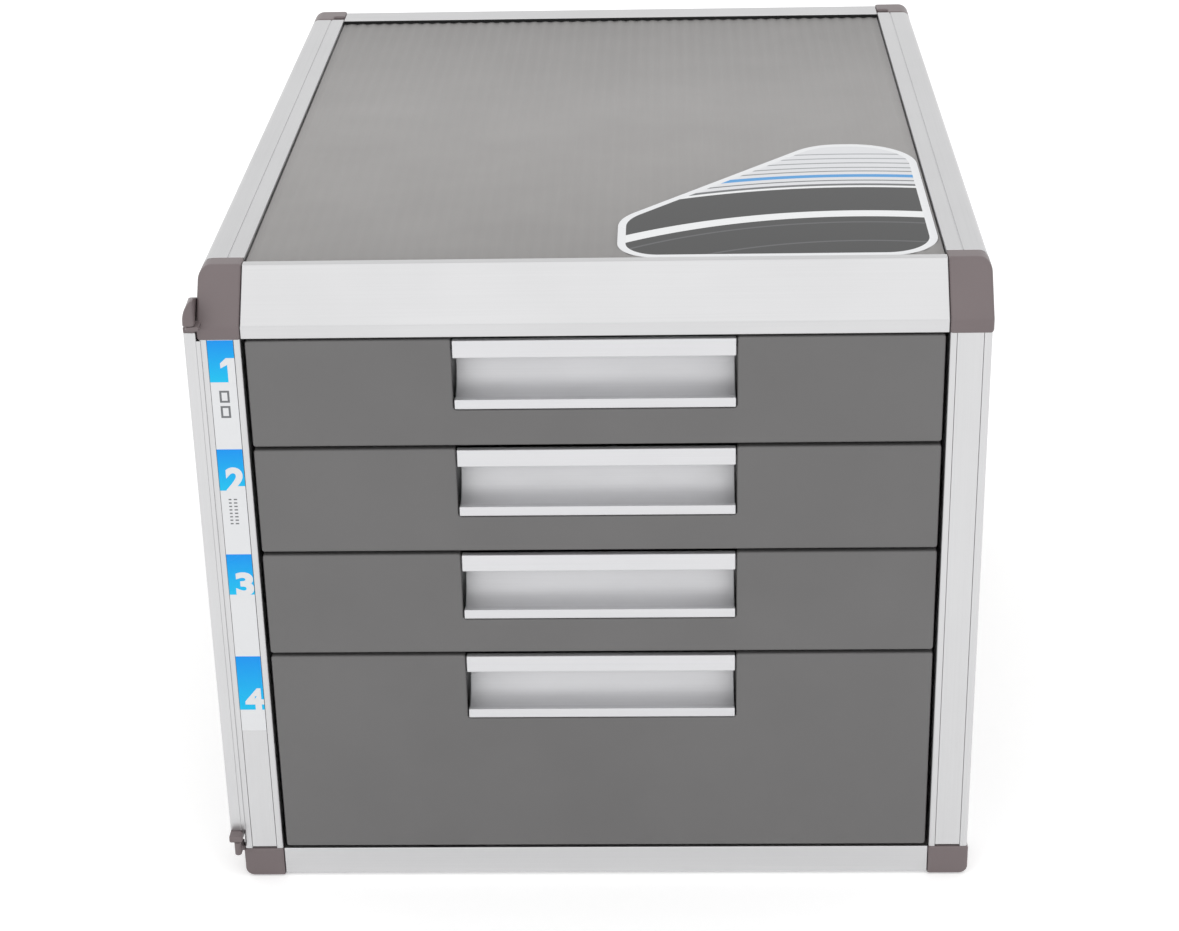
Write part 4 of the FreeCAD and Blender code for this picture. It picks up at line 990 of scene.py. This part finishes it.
for number in DRAWERS:
    node = f"drawer_screws_{number}"
    places = bpy.data.meshes.new("screw_places")
    seats = []
    for low, high in solids_of(node):
        middle = (low + high) / 2
        seats.append((middle.x, high.y - SCREW["Head Height"] * MM, middle.z))
    places.from_pydata(seats, [], [])
    marker = shown("screw_places", places)
    sizes = {name: value * MM for name, value in SCREW.items()}
    mesh = made_by(screws, screw_inputs, {"Places": marker, **sizes, "Material": zinc_steel})
    bpy.data.objects.remove(marker)
    piece_of(mesh, node + "_finished", zinc_steel, body_of_node[node], [node])
    print(node, len(seats), "screws")

# %% [markdown]
# ## The index label
# A printed film runs down the left strip, with a blue field and a plain figure for each
# drawer, and small page outlines and dashes between them. The figures are white and lie
# over the lower right of the fields, so that where they leave the blue they vanish into
# the white film.

# %% Printed films
FILM = {"IOR": 1.5, "Specular IOR Level": 0.3}


def printed_film(name, colour, fade_to=None):
    """Ink under a thin film, plain or running from one colour to another with the fade value."""
    material, tree = new_material(name)
    ink = linear(colour)
    if fade_to:
        fade = add_node(tree, "ShaderNodeAttribute", attribute_name="fade")
        mix = add_node(tree, "ShaderNodeMix", {"Factor": fade.outputs["Fac"]}, data_type="RGBA")
        mix.inputs[6].default_value, mix.inputs[7].default_value = linear(colour), linear(fade_to)
        ink = mix.outputs[2]
    cloud = add_node(tree, "ShaderNodeTexNoise", {
        "Vector": pattern_place(tree, CLOUD), "Scale": 1.0, "Detail": 2.0})
    gloss = add_node(tree, "ShaderNodeMapRange", {
        "Value": cloud.outputs["Fac"], **NOISE_RANGE, "To Min": 0.24, "To Max": 0.34})
    end_material(tree, {
        "Base Color": ink, "Roughness": gloss.outputs["Result"], **FILM})
    return material


film_blue = printed_film("printed_film_blue", "#0097F4", "#0CC4F4")
film_white = printed_film("printed_film_white", "#E8E9EB")
film_grey = printed_film("printed_film_grey", "#77797C")
print("films in blue, white and grey")

# %% A thin printed shape
INK = 0.02 * MM


def printed(mesh, name, material):
    """Flat faces in x and z, made a closed thin piece of the index label."""
    run = bmesh.ops.extrude_face_region(mesh, geom=list(mesh.faces))
    moved = [item for item in run["geom"] if isinstance(item, bmesh.types.BMVert)]
    bmesh.ops.translate(mesh, verts=moved, vec=(0, -INK, 0))
    bmesh.ops.recalc_face_normals(mesh, faces=mesh.faces)
    return piece_of(mesh, name, material, "cabinet", smooth=False)


def rectangle(mesh, left, right, bottom, top):
    """Adds a flat rectangle to a mesh, on the face of the index label."""
    corners = block_outline(left, bottom, right, top)
    mesh.faces.new([mesh.verts.new((x, label_low.y, z)) for x, z in corners])


# %% Fields
FIELD_SPANS = {1: (0.2, 17.5), 2: (45.7, 63.4), 3: (91.3, 109.3), 4: (137.4, 162.2)}
FILM_EDGE = 0.04 * MM

label_low, label_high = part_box("index_label")
finished("index_label", FILM_EDGE, film_white, 1)
for number, drops in FIELD_SPANS.items():
    top, bottom = (label_high.z - drop * MM for drop in drops)
    mesh = bmesh.new()
    rectangle(mesh, label_low.x, label_high.x, bottom, top)
    field = printed(mesh, f"index_field_{number}", film_blue)
    fade = field.data.attributes.new("fade", "FLOAT", "POINT")
    for vertex, value in zip(field.data.vertices, fade.data):
        value.value = (top - vertex.co.z) / (top - bottom)
print("fields printed")

# %% Figures
FIGURE_HEIGHT = 10.6 * MM
FIGURE_WIDTHS = {1: 5.6, 2: 7.4, 3: 7.2, 4: 7.6}
FIGURE_ONE = ((0, 0.6), (0, 0.8), (0.42, 1), (1, 1), (1, 0), (0.48, 0), (0.48, 0.74))
FIGURE_WEIGHT = 0.045
FIGURE_SINK = 0.6 * MM
OUTLINE_STEPS = 6

for number, drops in FIELD_SPANS.items():
    mesh = bmesh.new()
    if number == 1:
        mesh.faces.new([mesh.verts.new((x, y, 0)) for x, y in FIGURE_ONE])
    else:
        words = bpy.data.curves.new(f"figure_{number}", "FONT")
        words.body, words.offset, words.resolution_u = str(number), FIGURE_WEIGHT, OUTLINE_STEPS
        text = shown(f"figure_{number}", words)
        graph = bpy.context.evaluated_depsgraph_get()
        mesh.from_mesh(bpy.data.meshes.new_from_object(text.evaluated_get(graph)))
        bpy.data.objects.remove(text)
    weld(mesh)
    low, high = box_of(mesh.verts)
    bmesh.ops.translate(mesh, verts=mesh.verts, vec=(-high.x, -low.y, 0))
    bmesh.ops.scale(mesh, verts=mesh.verts, vec=(
        FIGURE_WIDTHS[number] * MM / (high.x - low.x), FIGURE_HEIGHT / (high.y - low.y), 1))
    place = Vector((label_high.x, label_low.y - INK, label_high.z - drops[1] * MM - FIGURE_SINK))
    bmesh.ops.transform(mesh, verts=mesh.verts,
                        matrix=Matrix.Translation(place) @ Matrix.Rotation(math.pi / 2, 4, "X"))
    printed(mesh, f"index_figure_{number}", film_white)
print("figures printed")

# %% Small marks between the fields: two page outlines, and rows of dashes like a list
PAGE_WIDTH = 3.8 * MM
PAGE_HEIGHT = 5.0 * MM
PAGE_LINE = 0.8 * MM
PAGE_DROPS = (21.0 * MM, 27.4 * MM)
DASH_DROP = 67.0 * MM
DASH_PITCH = 1.5 * MM
DASH_WEIGHT = 0.55 * MM
DASH_ROWS = 8
DASH_COLUMNS = ((3.0 * MM, 1.1 * MM), (5.0 * MM, 1.3 * MM))

mesh = bmesh.new()
middle = (label_low.x + label_high.x) / 2
left, right = middle - PAGE_WIDTH / 2, middle + PAGE_WIDTH / 2
for drop in PAGE_DROPS:
    top, bottom = label_high.z - drop, label_high.z - drop - PAGE_HEIGHT
    rectangle(mesh, left, left + PAGE_LINE, bottom, top)
    rectangle(mesh, right - PAGE_LINE, right, bottom, top)
    rectangle(mesh, left + PAGE_LINE, right - PAGE_LINE, top - PAGE_LINE, top)
    rectangle(mesh, left + PAGE_LINE, right - PAGE_LINE, bottom, bottom + PAGE_LINE)
for row in range(DASH_ROWS):
    top = label_high.z - DASH_DROP - row * DASH_PITCH
    for start, length in DASH_COLUMNS:
        rectangle(mesh, label_low.x + start, label_low.x + start + length, top - DASH_WEIGHT, top)
printed(mesh, "index_marks", film_grey)
print("marks printed")

# %% [markdown]
# ## The label on the top panel
# A die-cut film with a white border lies at the right front of the top panel. Its print here
# is a plain pattern of wide rings: charcoal with a bold white band, then fine grey lines on a
# pale ground with one blue line. The border is the outline moved inwards, so the film's face
# is inset and its inside takes the print.

# %% The ringed print
RING_CENTRE = (-30 * MM, -120 * MM)
RING_REACH = 300
RINGS = (
    (0, "#121314"), (135, "#4A4B4E"), (136, "#121314"), (157, "#4A4B4E"), (158, "#121314"),
    (163, "#ECEDEE"), (171, "#121314"), (199, "#ECEDEE"), (201.5, "#5C5E61"), (203, "#DCDDE0"),
    (206.5, "#66686B"), (208, "#DCDDE0"), (211.5, "#2A93D6"), (214.5, "#DCDDE0"), (218, "#7C7E81"),
    (219.2, "#DCDDE0"), (223, "#8C8F92"), (224, "#DCDDE0"), (229, "#8C8F92"), (230, "#DCDDE0"),
    (235, "#9A9CA0"), (236, "#DCDDE0"), (241, "#9A9CA0"), (242, "#DCDDE0"),
)

badge_low, badge_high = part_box("top_label")
centre = (badge_high.x + RING_CENTRE[0], badge_low.y + RING_CENTRE[1], badge_high.z)
film_rings, tree = new_material("printed_film_rings")
place = add_node(tree, "ShaderNodeTexCoord")
centred = add_node(tree, "ShaderNodeVectorMath", {
    0: place.outputs["Object"], 1: centre}, operation="SUBTRACT")
flat = add_node(tree, "ShaderNodeVectorMath", {
    0: centred.outputs["Vector"], 1: (1, 1, 0)}, operation="MULTIPLY")
reach = add_node(tree, "ShaderNodeVectorMath", {0: flat.outputs["Vector"]}, operation="LENGTH")
share = add_node(tree, "ShaderNodeMath", {
    0: reach.outputs["Value"], 1: RING_REACH * MM}, operation="DIVIDE")
ramp = add_node(tree, "ShaderNodeValToRGB", {"Fac": share.outputs[0]})
ramp.color_ramp.interpolation = "CONSTANT"
stops = ramp.color_ramp.elements
for index, (radius, colour) in enumerate(RINGS):
    stop = stops[index] if index < len(stops) else stops.new(radius / RING_REACH)
    stop.position = radius / RING_REACH
    stop.color = linear(colour)
end_material(tree, {
    "Base Color": ramp.outputs["Color"], "Roughness": 0.28, **FILM})
print(len(RINGS), "rings")

# %% The film and its border
BORDER = 3.2 * MM
LOOKS_UP = 0.9


def top_face(mesh):
    """The largest face that looks up."""
    return max(mesh.faces, key=lambda face: (face.normal.z > LOOKS_UP) * face.calc_area())


mesh = merged_solid("top_label")
bmesh.ops.inset_region(mesh, faces=[top_face(mesh)], thickness=BORDER, use_even_offset=True)
top_face(mesh).material_index = 1
badge = piece_of(mesh, "top_label_finished", film_white, "cabinet", ["top_label"], smooth=False)
badge.data.materials.append(film_rings)
print("top label printed")

# %% [markdown]
# ## Floor and light
# The cabinet stands on a white floor in a white room. All light is at a plain level, so
# that a colour renders about as it is written. The room is seen as pure white by the
# camera and in reflections, but lights the cabinet a little less than that, which leaves
# room for a soft lamp from above to shape it. The floor keeps a faint shadow.

# %% World
ROOM_LIGHT = 0.9

scene = bpy.context.scene
scene.view_settings.view_transform = "Standard"
world = bpy.data.worlds.new("white_room")
scene.world = world
world.use_nodes = True
tree = world.node_tree
tree.nodes.clear()


def seen_rays(tree):
    """1 for a ray from the camera, off a glossy surface or through glass, otherwise 0."""
    path = add_node(tree, "ShaderNodeLightPath").outputs
    direct = add_node(tree, "ShaderNodeMath", {
        0: path["Is Camera Ray"], 1: path["Is Glossy Ray"]}, operation="MAXIMUM")
    seen = add_node(tree, "ShaderNodeMath", {
        0: direct.outputs[0], 1: path["Is Transmission Ray"]}, operation="MAXIMUM")
    return seen.outputs[0]


level = add_node(tree, "ShaderNodeMapRange", {
    "Value": seen_rays(tree), "To Min": ROOM_LIGHT, "To Max": 1.0})
room = add_node(tree, "ShaderNodeBackground", {
    "Color": linear("#FFFFFF"), "Strength": level.outputs["Result"]})
add_node(tree, "ShaderNodeOutputWorld", {"Surface": room.outputs["Background"]})
print("white room")

# %% Floor
FLOOR_SIZE = 6
FLOOR_GLOW = 0.33

mesh = bmesh.new()
bmesh.ops.create_grid(mesh, x_segments=1, y_segments=1, size=FLOOR_SIZE)
data = bpy.data.meshes.new("floor")
mesh.to_mesh(data)
mesh.free()
material, tree = new_material("white_floor")
glow = add_node(tree, "ShaderNodeMath", {0: seen_rays(tree), 1: FLOOR_GLOW}, operation="MULTIPLY")
matt = add_node(tree, "ShaderNodeBsdfDiffuse", {"Color": linear("#F4F4F4")})
lit = add_node(tree, "ShaderNodeEmission", {
    "Color": linear("#FFFFFF"), "Strength": glow.outputs[0]})
both = add_node(tree, "ShaderNodeAddShader", {0: matt.outputs["BSDF"], 1: lit.outputs["Emission"]})
add_node(tree, "ShaderNodeOutputMaterial", {"Surface": both.outputs["Shader"]})
data.materials.append(material)
floor = shown("floor", data)
print("white floor")

# %% The soft box, a square lamp that looks at the middle of the cabinet
LAMP_PLACE = Vector((0.0, -1.6, 2.1))
LAMP_AIM = Vector((0, 0, 0.13))
LAMP_SIZE = 3.6
LAMP_POWER = 12.5

light = bpy.data.lights.new("high_front_softbox", "AREA")
light.size = LAMP_SIZE
light.energy = LAMP_POWER
turn = (LAMP_AIM - LAMP_PLACE).to_track_quat("-Z", "Y").to_matrix().to_4x4()
lamp = shown("high_front_softbox", light)
lamp.matrix_world = Matrix.Translation(LAMP_PLACE) @ turn
print("lamp", LAMP_POWER, "W")
